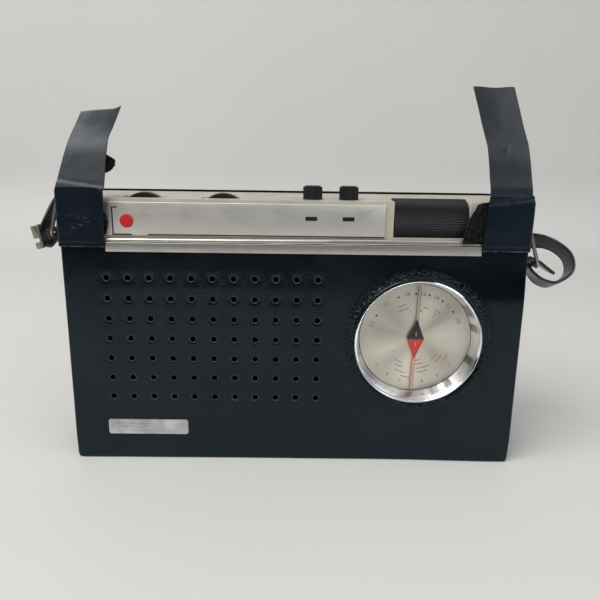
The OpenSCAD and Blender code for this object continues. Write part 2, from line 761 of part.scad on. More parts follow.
module potentiometers() {
    color([0.5, 0.5, 0.5]) for (x = [volume_x, tone_x]) difference() {
        union() {
            rod_y(x, wheel_y + wheel_t / 2 + 0.6, wheel_z, 5.2, 5);
            block([x - 5, wheel_y + wheel_t / 2 + 2, 80], [x + 5, wheel_y + wheel_t / 2 + 4.6, wheel_z]);
        }
        rod_y(x, wheel_y, wheel_z, 1.5 + gap, 9);
    }
}

// Ridged button cap, its collar under the top wall, and its stem
module push_button(x) {
    color([0.1, 0.1, 0.11]) translate([x, button_y, 0]) {
        translate([0, 0, inside_top - 0.6]) linear_extrude(button_top - inside_top + 0.2)
            ribbed_outline(button_d / 2, 0.12, 40);
        translate([0, 0, button_top - 0.5]) cylinder(h = 0.5, r = button_d / 2 - 0.6);
        translate([0, 0, inside_top - 1.5]) cylinder(h = 1.2, r = 4.4);
        translate([0, 0, 87]) cylinder(h = inside_top - 87.6, r = stem_r);
    }
}

module long_wave_button() { push_button(long_wave_x); }
module medium_wave_button() { push_button(medium_wave_x); }

// Coil spring between the switch block and a button's collar
module button_spring(x) {
    low_z = switch_top + 0.3;
    high_z = inside_top - 1.9;
    turns = 4;
    steps = turns * 14;
    wire = 0.25;
    radius = 2.7;
    points = [for (i = [0 : steps], k = [0 : 5]) let (
            turn = 360 * turns * i / steps,
            reach = radius + wire * cos(60 * k),
            rise = low_z + (high_z - low_z) * i / steps + wire * sin(60 * k))
        [reach * cos(turn), reach * sin(turn), rise]];
    faces = concat([[5, 4, 3, 2, 1, 0]], [[for (k = [0 : 5]) 6 * steps + k]],
        [for (i = [0 : steps - 1], k = [0 : 5])
            [6 * i + k, 6 * i + (k + 1) % 6, 6 * i + 6 + (k + 1) % 6, 6 * i + 6 + k]]);
    color([0.7, 0.7, 0.72]) translate([x, button_y, 0]) polyhedron(points, faces, convexity = 10);
}

module long_wave_spring() { button_spring(long_wave_x); }
module medium_wave_spring() { button_spring(medium_wave_x); }

module switch_block() {
    low_x = long_wave_x - 6;
    high_x = medium_wave_x + 6;
    color([0.35, 0.3, 0.25]) difference() {
        block([low_x, button_y - 4, 80], [high_x, button_y + 4.5, switch_top]);
        for (x = [long_wave_x, medium_wave_x])
            translate([x, button_y, 83]) cylinder(h = 20, r = stem_r + gap);
    }
}

// ---------- speaker ----------

// Places a speaker part: Z of the part runs from the front face backwards
module at_speaker() {
    translate([speaker_x, inside_front_y + 0.5, speaker_z]) rotate([-90, 0, 0]) children();
}

module speaker_frame() {
    color([0.45, 0.45, 0.46]) at_speaker() rotate_extrude()
        polygon([[speaker_r - 3.5, 0], [speaker_r, 0], [speaker_r, 1.2], [speaker_r - 2.4, 1.2],
            [14.2, 12], [14.2, 13], [11, 13], [11, 12], [13.2, 12], [speaker_r - 4.2, 0.6]]);
}

module speaker_cone() {
    color([0.1, 0.1, 0.1]) at_speaker() rotate_extrude()
        polygon([[speaker_r - 8.4, 1], [speaker_r - 8, 1.4], [8, 10.6], [0, 8.2], [0, 7.7], [8, 9.9]]);
}

module speaker_magnet() {
    color([0.3, 0.3, 0.32]) at_speaker() translate([0, 0, 13.1]) cylinder(h = 7.4, r = 13);
}

module grille_cloth() {
    color([0.08, 0.08, 0.08]) block([hole_x - 4, inside_front_y + 0.05, hole_z - 6],
        [2 * speaker_x - hole_x + 4, inside_front_y + 0.35, hole_z + hole_rows * hole_pitch - 2]);
}

// ---------- electronics ----------

module circuit_board() {
    notch = [battery_x - 4, 33.5];
    color([0.55, 0.38, 0.18]) difference() {
        block([-80, board_y, 6], [80, board_y + board_t, 84]);
        block([notch[0], board_y - cut, 5], [81, board_y + board_t + cut, notch[1]]);
    }
}

module ferrite_rod() {
    color([0.2, 0.2, 0.21]) rod_x(-64, 11.5, 92.5, 4, 128);
}

module antenna_coils() {
    color([0.6, 0.3, 0.15]) for (x = [-56, 38]) difference() {
        rod_x(x, 11.5, 92.5, 4.9, 18);
        rod_x(x - cut, 11.5, 92.5, 4 + gap, 20);
    }
}

module if_cans() {
    color([0.7, 0.7, 0.72]) for (i = [0 : 2])
        block([-4 + 9.5 * i, board_y + board_t + gap, 62], [3 + 9.5 * i, board_y + board_t + 9.2, 69]);
}

module capacitors() {
    color([0.2, 0.3, 0.55]) for (place = [[-66, 18, 3.2], [-54, 18, 4], [-40, 20, 4], [12, 44, 3.2]])
        rod_y(place[0], board_y + board_t + gap, place[1], place[2], 9);
}

module battery() {
    color([0.15, 0.16, 0.18]) block([battery_x, -3, 4.6], [battery_x + 48.5, 14.4, 31]);
}

// Snap-contact strip on the battery's end
module battery_clip() {
    color([0.1, 0.1, 0.1]) block([battery_x - 2.4, -2, 6], [battery_x - 0.1, 13.4, 29]);
}

case_front_panel();
case_gusset();
case_back_panel();
case_front_trim();
badge_plate();
corner_band(-1);  // corner_band_left
corner_band(1);  // corner_band_right
front_strap(left_strap_outline(), -1);  // front_strap_left
front_strap(right_strap_outline(), 1);  // front_strap_right
snap_socket(-1);  // snap_socket_left
snap_socket(1);  // snap_socket_right
inner_ply_left();
inner_ply_right();
rear_tab(-1);  // rear_tab_left
rear_tab(1);  // rear_tab_right
snap_stud(-1);  // snap_stud_left
snap_stud(1);  // snap_stud_right
ring_rivets();
ring_tabs();
d_rings();
carry_strap();
strap_clip();
cabinet_front();
cabinet_back();
cabinet_screws();
cabinet_ledge();
control_panel();
dial_bezel();
dial_lens();
dial_plate();
pointer_black();
pointer_red();
pointer_bar();
gang_rotor();
gang_frame();
tuning_drum();
drive_brackets();
guide_pulley_front();
guide_pulley_corner();
guide_pulley_top();
drive_cord();
volume_wheel();
tone_wheel();
potentiometers();
long_wave_button();
medium_wave_button();
long_wave_spring();
medium_wave_spring();
switch_block();
speaker_frame();
speaker_cone();
speaker_magnet();
grille_cloth();
circuit_board();
ferrite_rod();
antenna_coils();
if_cans();
capacitors();
battery();
battery_clip();
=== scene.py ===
"""Looks of a small transistor radio standing in a leather slip case.

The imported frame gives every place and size. Lengths in this script are millimetres, and piece() turns
them into metres. Front is -Y and up is +Z.
"""

import json
import math

import bmesh
import bpy
import numpy as np
from mathutils import Matrix, Vector, noise


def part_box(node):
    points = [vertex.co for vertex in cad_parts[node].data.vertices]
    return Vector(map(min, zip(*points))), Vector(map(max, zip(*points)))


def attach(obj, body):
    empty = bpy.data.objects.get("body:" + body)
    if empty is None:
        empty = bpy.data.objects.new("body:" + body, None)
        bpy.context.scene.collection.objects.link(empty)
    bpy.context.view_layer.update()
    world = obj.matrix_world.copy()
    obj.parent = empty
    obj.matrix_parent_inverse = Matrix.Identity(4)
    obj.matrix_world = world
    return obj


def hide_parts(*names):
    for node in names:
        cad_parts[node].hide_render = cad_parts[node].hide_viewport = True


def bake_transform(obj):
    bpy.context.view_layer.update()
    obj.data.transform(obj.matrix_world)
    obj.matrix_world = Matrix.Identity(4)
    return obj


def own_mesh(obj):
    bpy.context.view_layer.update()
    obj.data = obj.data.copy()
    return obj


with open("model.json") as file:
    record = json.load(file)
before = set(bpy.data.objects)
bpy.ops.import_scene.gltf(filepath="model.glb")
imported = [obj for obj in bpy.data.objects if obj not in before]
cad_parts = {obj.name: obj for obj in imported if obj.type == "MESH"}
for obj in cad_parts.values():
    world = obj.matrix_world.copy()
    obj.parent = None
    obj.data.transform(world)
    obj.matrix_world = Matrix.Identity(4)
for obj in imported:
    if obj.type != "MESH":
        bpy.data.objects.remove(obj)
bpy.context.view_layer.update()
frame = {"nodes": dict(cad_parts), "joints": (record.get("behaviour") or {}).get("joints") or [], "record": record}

MM = 0.001
CASE = "case"


# ---------- places taken from the frame ----------


def box_mm(node):
    low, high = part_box(node)
    return np.array(low) / MM, np.array(high) / MM


def middle(node):
    low, high = box_mm(node)
    return (low + high) / 2


def node_points(node):
    """A CAD node's own vertices, in millimetres."""
    return np.array([v.co for v in frame["nodes"][node].data.vertices]) / MM


JOINTS = {joint["name"]: joint for joint in frame["joints"]}

gusset_low, gusset_high = box_mm("case_gusset")
back_low, back_high = box_mm("case_back_panel")
panel_low, panel_high = box_mm("case_front_panel")
bezel_low, bezel_high = box_mm("dial_bezel")
cloth_low, cloth_high = box_mm("grille_cloth")

CASE_X = gusset_high[0]
BACK_Y = back_high[1]
FRONT_Y = -BACK_Y
LEATHER_T = back_high[1] - back_low[1]
FRONT_TOP = panel_high[2]
CORNER_R = 1.6

HOLE_COLUMNS = 11
HOLE_ROWS = 7
HOLE_R = 1.1
# the cloth reaches this far past the outer holes, at the sides and below
CLOTH_SIDE = 4.0
CLOTH_FOOT = 6.0
HOLE_X = cloth_low[0] + CLOTH_SIDE
HOLE_Z = cloth_low[2] + CLOTH_FOOT
HOLE_PITCH = (cloth_high[0] - cloth_low[0] - 2 * CLOTH_SIDE) / (HOLE_COLUMNS - 1)

DIAL = middle("dial_bezel")
PLATE_R = (box_mm("dial_plate")[1][0] - box_mm("dial_plate")[0][0]) / 2
PLATE_Y = box_mm("dial_plate")[0][1]
WINDOW_R = (bezel_high[0] - bezel_low[0]) / 2 - 1.35


# ---------- materials ----------


LOOKS = {}


class Nodes:
    """A node tree with short ways to add to it. A value is a number, a colour or a node's output."""

    def __init__(self, tree):
        self.tree = tree

    def put(self, socket, value):
        if isinstance(value, bpy.types.NodeSocket):
            self.tree.links.new(value, socket)
        elif socket.type == "RGBA":
            socket.default_value = (*value[:3], 1)
        else:
            socket.default_value = value

    def add(self, kind, *inputs, **values):
        """A node. Named values go to the socket or the setting of that name, the rest to sockets in order."""
        made = self.tree.nodes.new(kind)
        for name, value in values.items():
            socket = made.inputs.get(name.replace("_", " "))
            if socket is None:
                setattr(made, name, value)
            else:
                self.put(socket, value)
        for socket, value in zip(made.inputs, inputs):
            self.put(socket, value)
        return made

    def math(self, operation, a, b=0.0):
        return self.add("ShaderNodeMath", a, b, operation=operation).outputs[0]

    def times(self, first, *others):
        """Several values multiplied together."""
        for other in others:
            first = self.math("MULTIPLY", first, other)
        return first

    def ramp(self, value, low, high, start=0.0, end=1.0):
        """Runs from start to end while the value goes from low to high."""
        return self.add("ShaderNodeMapRange", value, low, high, start, end, clamp=True).outputs["Result"]

    def mix(self, share, a, b):
        """Colour a, giving way to b as the share goes to one."""
        made = self.add("ShaderNodeMix", share, data_type="RGBA")
        self.put(made.inputs[6], a)
        self.put(made.inputs[7], b)
        return made.outputs[2]


class Look(Nodes):
    """A node material, kept in LOOKS by its name. Sizes are in millimetres."""

    def __init__(self, name, colour, roughness, metallic=0.0):
        material = bpy.data.materials.new(name)
        material.use_nodes = True
        super().__init__(material.node_tree)
        self.surface = self.tree.nodes["Principled BSDF"]
        self.feed(Base_Color=colour, Roughness=roughness, Metallic=metallic)
        self.place = self.add("ShaderNodeTexCoord").outputs["Object"]
        LOOKS[name] = material

    def feed(self, **values):
        """Sets the surface's own inputs."""
        for name, value in values.items():
            self.put(self.surface.inputs[name.replace("_", " ")], value)

    def stretched(self, stretch=(1, 1, 1)):
        return self.add("ShaderNodeMapping", Vector=self.place, Scale=stretch).outputs["Vector"]

    def noise(self, size, detail=3.0, stretch=(1, 1, 1), rough=0.5):
        cloud = self.add("ShaderNodeTexNoise", Vector=self.stretched(stretch), Scale=1 / (size * MM))
        self.put(cloud.inputs["Detail"], detail)
        self.put(cloud.inputs["Roughness"], rough)
        return cloud.outputs["Fac"]

    def cells(self, size, feature, warp):
        """Distance within cells of this size. warp pulls them out of shape."""
        place, scale = self.stretched(), 1 / (size * MM)
        drift = self.add("ShaderNodeTexNoise", Vector=place, Scale=0.7 * scale, Detail=2.0).outputs["Color"]
        moved = self.add("ShaderNodeVectorMath", drift, operation="SCALE", Scale=warp * MM).outputs[0]
        place = self.add("ShaderNodeVectorMath", place, moved, operation="ADD").outputs[0]
        tiled = self.add("ShaderNodeTexVoronoi", feature=feature, Vector=place, Scale=scale)
        return tiled.outputs["Distance"]

    def axis(self, letter):
        return self.add("ShaderNodeSeparateXYZ", self.place).outputs[letter]

    def off_centre(self, centre):
        """How far right of a point and how far above it."""
        right = self.math("SUBTRACT", self.axis("X"), centre[0] * MM)
        return right, self.math("SUBTRACT", self.axis("Z"), centre[2] * MM)

    def radius(self, centre):
        """Distance in millimetres from a point, in the plane of the front."""
        x, z = self.off_centre(centre)
        square = self.math("ADD", self.times(x, x), self.times(z, z))
        return self.times(self.math("SQRT", square), 1 / MM)

    def heading(self, centre, angle):
        """Degrees away from a direction on the front, which is given clockwise from the top."""
        x, z = self.off_centre(centre)
        sine, cosine = math.sin(math.radians(angle)), math.cos(math.radians(angle))
        along = self.math("ADD", self.times(x, sine), self.times(z, cosine))
        aside = self.math("SUBTRACT", self.times(x, cosine), self.times(z, sine))
        return self.times(self.math("ARCTAN2", self.math("ABSOLUTE", aside), along), math.degrees(1))

    def bump(self, height, depth):
        """Relief, on top of any that is there already."""
        made = self.add("ShaderNodeBump", Height=height, Distance=depth * MM)
        for earlier in [link.from_socket for link in self.surface.inputs["Normal"].links]:
            self.put(made.inputs["Normal"], earlier)
        self.feed(Normal=made.outputs["Normal"])


COOL_CAST = (0.70, 0.90, 1.0)
FAINT_CAST = (0.90, 0.96, 1.0)


def shade(colour, factor):
    return tuple(min(1.0, c * factor) for c in colour)


def worn_round_dial(look, tone):
    """Flecks and cracks in the front leather where it is stretched round the bezel."""
    ring = look.radius(DIAL)
    near = look.times(look.ramp(ring, 25.0, 26.0), look.ramp(ring, 29.4, 27.4))
    near = look.times(near, look.ramp(look.axis("Y"), 0.0, DIAL[1] / 2 * MM))
    flecks = look.ramp(look.noise(1.1, 5, rough=0.75), 0.56, 0.72)
    cracks = look.cells(1.6, "DISTANCE_TO_EDGE", 1.5)
    look.bump(look.times(near, look.ramp(cracks, 0.0, 0.22)), 0.14)
    return look.mix(look.times(near, flecks, 0.22), tone, (0.16, 0.16, 0.165))


def worn_band(look, tone):
    """The bands' rubbed foot, and a patch of scratches on the left one."""
    foot_z = box_mm("corner_band_left")[0][2]
    foot = look.ramp(look.times(look.axis("Z"), 1 / MM), foot_z + 0.55, foot_z + 0.25)
    rubbed = look.ramp(look.noise(4, 4, rough=0.7), 0.42, 0.6)
    tone = look.mix(look.times(foot, rubbed, 0.5), tone, (0.22, 0.23, 0.235))
    patch = look.ramp(look.radius((-CASE_X + 8, 0, foot_z + 9.5)), 6.5, 3.0)
    strokes = look.ramp(look.noise(1.1, 3, (0.25, 1, 1.4), 0.7), 0.62, 0.68)
    return look.mix(look.times(patch, strokes, 0.45), tone, (0.3, 0.31, 0.32))


def leather(name, colour, grain=0.5, depth=0.006, rough=0.3, scuff=0.25, gloss=0.5, cast=FAINT_CAST,
            worn=None):
    """Grained leather: cells of grain, soft patches of colour, thin pale scuffs."""
    look = Look(name, colour, rough)
    pores = look.cells(grain, "SMOOTH_F1", grain * 0.8)
    tone = look.mix(look.ramp(look.noise(26, 4), 0.3, 0.7), shade(colour, 0.72), shade(colour, 1.45))
    tone = look.mix(look.ramp(pores, 0.35, 0.75, 0.0, 0.45), tone, shade(colour, 0.35))
    scratch = look.ramp(look.noise(7, 6, (1, 1, 5), 0.7), 0.68, 0.78)
    gate = look.ramp(look.noise(33, 2), 0.55, 0.7)
    tone = look.mix(look.times(scratch, gate, scuff), tone, (0.30, 0.31, 0.33))
    if worn:
        tone = worn(look, tone)
    height = look.math("ADD", look.times(pores, -1.0), look.times(look.noise(0.35, 2), 0.15))
    look.bump(height, depth)
    look.feed(Base_Color=tone, Roughness=look.ramp(look.noise(15, 3), 0.3, 0.7, rough - 0.05, rough + 0.08))
    look.feed(Specular_IOR_Level=gloss, Specular_Tint=cast)


def suede(name, colour):
    """Napped leather: no shine, a soft sheen and short uneven pile, with painted highlights on its fibre tips."""
    look = Look(name, colour, 0.95)
    pile = look.noise(0.35, 6, rough=0.8)
    # painted highlights: pale specks standing in for light caught on the pile's fibre tips; the low places of the
    # pile are darker
    highlight_specks = look.ramp(look.noise(0.7, 4, rough=0.8), 0.56, 0.68, 0.0, 0.9)
    tuft_highlight = look.mix(highlight_specks, colour, (0.13, 0.135, 0.145))
    look.feed(Base_Color=look.mix(look.ramp(pile, 0.3, 0.6), shade(colour, 0.4), tuft_highlight))
    look.bump(pile, 0.4)
    look.feed(Sheen_Weight=0.05, Sheen_Roughness=0.6, Specular_IOR_Level=0.05)


def cloth(name, colour, thread):
    """Woven threads in two directions."""
    look = Look(name, colour, 0.9)
    waves = [
        look.add("ShaderNodeTexWave", Vector=look.stretched(), Scale=0.3 / (thread * MM), bands_direction=way)
        for way in "XZ"
    ]
    threads = look.times(*(wave.outputs["Fac"] for wave in waves))
    look.feed(Base_Color=look.mix(threads, shade(colour, 0.5), shade(colour, 1.4)))
    look.bump(threads, 0.12)


def metal(name, colour, rough=0.3, brush=(1, 1, 1), brush_size=0.25, brush_depth=0.004, tarnish=0.35):
    """Worn metal: brushed or polished, with soft tarnish and small scratches."""
    look = Look(name, colour, rough, 1.0)
    stain = look.ramp(look.noise(9, 5, rough=0.65), 0.35, 0.75)
    lines = look.noise(brush_size, 4, brush, 0.7)
    uneven = look.ramp(lines, 0.2, 0.8, rough - 0.06, rough + 0.08)
    look.feed(Base_Color=look.mix(stain, colour, shade(colour, 1 - tarnish)),
              Roughness=look.math("ADD", uneven, look.times(stain, 0.1)))
    look.bump(lines, brush_depth)


def plastic(name, colour, rough=0.4, grain=0.4, depth=0.01, mottle=0.12):
    """Moulded plastic: a faint mottle, dust in the low places and a fine skin."""
    look = Look(name, colour, rough)
    patches = look.ramp(look.noise(12, 4), 0.3, 0.7)
    skin = look.noise(grain, 4)
    look.feed(Base_Color=look.mix(patches, shade(colour, 1 - mottle), shade(colour, 1 + mottle)),
              Roughness=look.ramp(skin, 0.3, 0.7, rough - 0.06, rough + 0.08))
    look.bump(skin, depth)


# direction, half width, and whether the wedge is a painted highlight (true) rather than painted shade (false)
SPUN_PAINTED_WEDGES = ((84, 28, True), (20, 22, True), (248, 22, True), (192, 30, True), (50, 15, False),
               (128, 22, False), (312, 26, False), (284, 16, False))


def spun_metal(name, colour):
    """Disc turned on a lathe, with rings so fine that light draws out into wedges; those wedges are painted into
    its colour as highlights and shade.
    """
    look = Look(name, colour, 0.3, 0.92)
    ring = look.radius(DIAL)
    rings = look.add("ShaderNodeTexNoise", noise_dimensions="1D", W=ring, Scale=9.0, Detail=4.0)
    turned = rings.outputs["Fac"]
    tone = look.mix(look.ramp(look.noise(11, 4), 0.35, 0.75), colour, shade(colour, 0.9))
    # painted highlight and painted shade: bright and dark wedges in the base colour where light on the rings would
    # draw out
    for direction, half, pale in SPUN_PAINTED_WEDGES:
        wedge = look.ramp(look.heading(DIAL, direction), 0, half, 0.8, 0.0)
        wedge = look.times(wedge, look.ramp(ring, 2.0, 9.0), look.ramp(ring, 22.0, 15.0, 0.35, 1.0))
        tone = look.mix(wedge, tone, shade(colour, 1.3 if pale else 0.66))
    look.feed(Base_Color=tone, Roughness=look.ramp(turned, 0.25, 0.75, 0.34, 0.42), Anisotropic=0.75)
    look.bump(turned, 0.003)
    look.feed(Tangent=look.add("ShaderNodeTangent", direction_type="RADIAL", axis="Y").outputs["Tangent"])


# direction, half width, depth of each painted dark reflection on the plating
CHROME_PAINTED_REFLECTIONS = ((58, 9, 0.8), (77, 5, 0.85), (111, 5, 0.85), (143, 5, 0.8), (158, 6, 0.6), (180, 34, 0.55),
                (222, 22, 0.45), (262, 10, 0.6), (330, 8, 0.6))


def chrome(name, colour):
    """Bright plating round the dial, with painted dark reflections: the dark bands that a turned ring mirrors,
    drawn into its colour.
    """
    look = Look(name, colour, 0.1, 1.0)
    deep = look.ramp(look.radius(DIAL), WINDOW_R - 1.9, WINDOW_R - 1.4, 1.0, 0.25)
    broken = look.ramp(look.noise(3.0, 3), 0.3, 0.6, 0.75, 1.0)
    tone = colour
    # painted reflections: each dark band is colour standing in for dark surroundings mirrored in the ring,
    # strongest on its inner wall
    for direction, half, strength in CHROME_PAINTED_REFLECTIONS:
        band = look.ramp(look.heading(DIAL, direction), half * 0.6, half, strength, 0.0)
        tone = look.mix(look.times(band, deep, broken), tone, (0.035, 0.038, 0.045))
    look.feed(Base_Color=tone, Roughness=look.ramp(look.noise(1.5, 4), 0.3, 0.7, 0.07, 0.14))
    look.bump(look.noise(6, 3), 0.02)


def clear(name, tint=(1, 1, 1), shine=0.016):
    """Thin clear plastic: what is behind it shows, with a faint reflection on top."""
    look = Look(name, tint, 0.05)
    see = look.add("ShaderNodeBsdfTransparent", Color=tint)
    gloss = look.add("ShaderNodeBsdfGlossy", Roughness=0.04)
    smear = look.ramp(look.noise(10, 4), 0.4, 0.8, shine * 0.6, shine * 1.5)
    edge = look.times(look.add("ShaderNodeLayerWeight", Blend=0.12).outputs["Fresnel"], 0.12)
    both = look.add("ShaderNodeMixShader", look.math("ADD", smear, edge), see.outputs[0], gloss.outputs[0])
    look.put(look.tree.nodes["Material Output"].inputs["Surface"], both.outputs[0])


leather("case_leather", (0.0030, 0.0046, 0.0066), 0.9, 0.03, 0.16, gloss=0.36, cast=COOL_CAST,
        worn=worn_round_dial)
leather("band_leather", (0.0048, 0.0080, 0.0140), 0.6, 0.012, scuff=0.5, gloss=0.33, cast=COOL_CAST,
        worn=worn_band)
leather("strap_leather", (0.034, 0.039, 0.043), rough=0.42, scuff=0.1, gloss=0.6)
# painted shade: the right strap is the same leather as the left one, drawn darker because it turns away from the
# light
leather("strap_leather_shaded", (0.018, 0.0205, 0.023), rough=0.36)
leather("carry_leather", (0.012, 0.013, 0.015), depth=0.01)
suede("suede", (0.004, 0.0045, 0.006))
metal("trim_metal", (0.70, 0.67, 0.63), 0.34, (1, 12, 12), 3.0, tarnish=0.22)
metal("panel_metal", (0.78, 0.755, 0.70), 0.46, (1, 20, 20), 4.0, tarnish=0.1)
metal("badge_metal", (0.72, 0.72, 0.71), brush_size=0.5, brush_depth=0.03, tarnish=0.55)
metal("ring_metal", (0.48, 0.45, 0.40), brush_size=0.6, brush_depth=0.01, tarnish=0.5)
metal("clip_metal", (0.44, 0.42, 0.37), 0.36, brush_size=0.8, brush_depth=0.01, tarnish=0.6)
metal("snap_metal", (0.30, 0.28, 0.25), 0.35, brush_size=0.5, brush_depth=0.01)
metal("coil_copper", (0.60, 0.22, 0.08), 0.3, (30, 1, 1), 6.0, 0.05)
chrome("bezel_chrome", (0.80, 0.83, 0.88))
spun_metal("dial_aluminium", (0.76, 0.715, 0.62))
clear("lens_clear")
clear("pointer_clear", (0.97, 0.96, 0.95), 0.008)
cloth("cord_fabric", (0.72, 0.66, 0.52), 0.3)
cloth("cloth", (0.012, 0.012, 0.012), 0.8)
plastic("cabinet_cream", (0.43, 0.41, 0.33), 0.42, 0.5, 0.012)
plastic("control_black", (0.006, 0.0068, 0.0082), 0.45, 0.3, 0.01, 0.3)
plastic("phenolic", (0.25, 0.13, 0.05), 0.5, 1.5, 0.02, 0.3)
plastic("paper_cone", (0.02, 0.02, 0.02), 0.9, 0.8, 0.08, 0.3)
plastic("magnet", (0.09, 0.09, 0.10), 0.6, 0.6, 0.04, 0.3)
plastic("ferrite", (0.05, 0.05, 0.055), 0.6, 0.5, 0.04, 0.3)
plastic("hole_edge", (0.017, 0.021, 0.025), 0.26, 0.4, 0.02, 0.5)
plastic("cut_leather", (0.055, 0.055, 0.055), 0.7, 0.4, 0.05, 0.4)
for kind, name, colour, rough in (
    (metal, "gang_metal", (0.6, 0.6, 0.58), 0.35),
    (metal, "screw_steel", (0.5, 0.5, 0.5), 0.3),
    (metal, "bracket_brass", (0.62, 0.50, 0.26), 0.35),
    (metal, "spring_steel", (0.55, 0.55, 0.57), 0.25),
    (metal, "speaker_steel", (0.3, 0.3, 0.31), 0.5),
    (metal, "can_steel", (0.6, 0.6, 0.62), 0.35),
    (metal, "battery_case", (0.06, 0.065, 0.09), 0.4),
    (plastic, "pulley_nylon", (0.72, 0.69, 0.58), 0.5),
    (plastic, "capacitor_sleeve", (0.04, 0.10, 0.32), 0.3),
    (plastic, "clip_plastic", (0.02, 0.02, 0.02), 0.5),
    (plastic, "pointer_black_paint", (0.008, 0.008, 0.010), 0.35),
    (plastic, "pointer_red_paint", (0.60, 0.035, 0.02), 0.35),
    (plastic, "ink_black", (0.012, 0.012, 0.014), 0.5),
    (plastic, "ink_grey", (0.20, 0.19, 0.18), 0.6),
    (plastic, "ink_orange", (0.42, 0.14, 0.06), 0.6),
    (plastic, "ink_pink", (0.62, 0.43, 0.35), 0.6),
    (plastic, "ink_pale", (0.45, 0.42, 0.38), 0.6),
    (plastic, "ink_red", (0.50, 0.006, 0.008), 0.6),
    (plastic, "ink_salmon", (0.72, 0.20, 0.13), 0.5),
):
    kind(name, colour, rough)


def dress_cad_nodes():
    for row in frame["record"]["subparts"]:
        node = frame["nodes"][row["node"]]
        node.data.materials.clear()
        node.data.materials.append(LOOKS[row["material_slot"]])


# ---------- mesh helpers ----------


def smooth(obj, sharp=40):
    obj.data.shade_smooth()
    obj.data.set_sharp_from_angle(angle=math.radians(sharp))


def piece(name, points, faces, look, body=None, sharp=40, facing=None, nodes=()):
    """A new mesh piece that stands for these CAD nodes. facing is the way an open sheet's front looks."""
    mesh = bpy.data.meshes.new(name)
    mesh.from_pydata([tuple(float(c) * MM for c in p) for p in points], [], faces)
    form = bmesh.new()
    form.from_mesh(mesh)
    if facing is None:
        bmesh.ops.recalc_face_normals(form, faces=form.faces)
    else:
        form.normal_update()
        total = sum((f.normal * f.calc_area() for f in form.faces), Vector())
        if total.dot(Vector(facing)) < 0:
            bmesh.ops.reverse_faces(form, faces=form.faces)
    form.to_mesh(mesh)
    form.free()
    mesh.materials.append(LOOKS[look])
    obj = bpy.data.objects.new(name, mesh)
    bpy.context.scene.collection.objects.link(obj)
    smooth(obj, sharp)
    if nodes:
        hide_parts(*nodes)
    if body:
        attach(obj, body)
    return obj


def final_mesh(obj):
    """The object's shape as it shows, as a mesh of its own."""
    bpy.context.view_layer.update()
    return bpy.data.meshes.new_from_object(obj.evaluated_get(bpy.context.evaluated_depsgraph_get()))


def round_edges(obj, width, segments, steepest):
    rounded = obj.modifiers.new("edge", "BEVEL")
    rounded.width = width * MM
    rounded.segments = segments
    rounded.limit_method = "ANGLE"
    rounded.angle_limit = math.radians(steepest)
    return rounded


def thicken(obj, thickness, edge=0.3, raw_edge=False):
    """Turns a sheet into a slab behind its front face, with rounded edges."""
    solid = obj.modifiers.new("solid", "SOLIDIFY")
    solid.thickness = thickness * MM
    solid.offset = -1
    if raw_edge:
        obj.data.materials.append(LOOKS["cut_leather"])
        solid.material_offset_rim = len(obj.data.materials) - 1
    if edge:
        round_edges(obj, edge, 2, 50)
    mesh = final_mesh(obj)
    obj.modifiers.clear()
    obj.data = mesh
    smooth(obj)


def soften(node, width, segments=3):
    """Rounds a CAD node's sharp edges with modifiers, leaving its mesh as it is."""
    obj = frame["nodes"][node]
    obj.modifiers.new("weld", "WELD").merge_threshold = 0.0005 * MM
    round_edges(obj, width, segments, 35).harden_normals = True
    obj.data.shade_smooth()


def grid_faces(rows, columns, wrap=False, closed=False):
    """Faces of a grid of points. wrap joins the ends of each row, closed joins the last row to the first."""
    return [
        tuple(row % rows * columns + column % columns
              for row, column in ((r, c), (r, c + 1), (r + 1, c + 1), (r + 1, c)))
        for r in range(rows if closed else rows - 1)
        for c in range(columns if wrap else columns - 1)
    ]


def shifted(faces, start):
    return [tuple(start + k for k in face) for face in faces]


def tube_faces(rows, ring):
    """Faces of a closed tube: rings joined in order, and a cap at each end."""
    caps = [tuple(range(ring)), tuple(range((rows - 1) * ring, rows * ring))]
    return grid_faces(rows, ring, wrap=True) + caps


def lathe(name, profile, centre, look, segments, nodes):
    """Turns a closed outline of (radius, y) about the Y axis through centre."""
    points = []
    for step in range(segments):
        turn = 2 * math.pi * step / segments
        points += [(centre[0] + r * math.sin(turn), y, centre[2] + r * math.cos(turn)) for r, y in profile]
    faces = grid_faces(segments, len(profile), wrap=True, closed=True)
    return piece(name, points, faces, look, CASE, 30, nodes=nodes)


def bend(centre, start, end, radius, first, second, steps=10):
    """Places on an arc. Angles run in degrees from the first direction towards the second."""
    turns = [math.radians(start + (end - start) * k / steps) for k in range(steps + 1)]
    first, second = Vector(first) * float(radius), Vector(second) * float(radius)
    return [Vector(centre) + first * math.cos(turn) + second * math.sin(turn) for turn in turns]


def lumps(x, y, z):
    """Smooth unevenness, about one bump to a unit."""
    return noise.noise(Vector((x, y, z)))


def ripple(x, z, size, seed=0.0):
    return lumps(x / size, seed, z / size)


def ease(share):
    share = max(0.0, min(1.0, share))
    return share * share * (3 - 2 * share)


def bump_at(value, centre, width):
    return math.exp(-(((value - centre) / width) ** 2))


def spread(low, high, step):
    return list(np.linspace(low, high, max(2, int(round((high - low) / step)) + 1)))


def merged(*runs):
    """All the values in order, leaving out any that falls on the one before."""
    values = []
    for value in sorted(v for run in runs for v in run):
        if not values or value - values[-1] > 0.01:
            values.append(float(value))
    return values


EDGE_STEPS = (0, 0.03, 0.1, 0.22, 0.4, 0.58, 0.75)


def edged(low, high, step, ends=EDGE_STEPS):
    """Even steps, closing up towards both ends."""
    inside = spread(low + ends[-1], high - ends[-1], step)
    return merged([low + s for s in ends], inside, [high - s for s in ends])


def nearest(values, wanted):
    return int(np.argmin(np.abs(np.array(values) - wanted)))


# ---------- leather case ----------


def edge_drop(distance, r):
    """How far a rounded edge has fallen back, this far in from it."""
    if distance >= r:
        return 0.0
    return r - math.sqrt(max(0.0, r * r - (r - distance) ** 2))


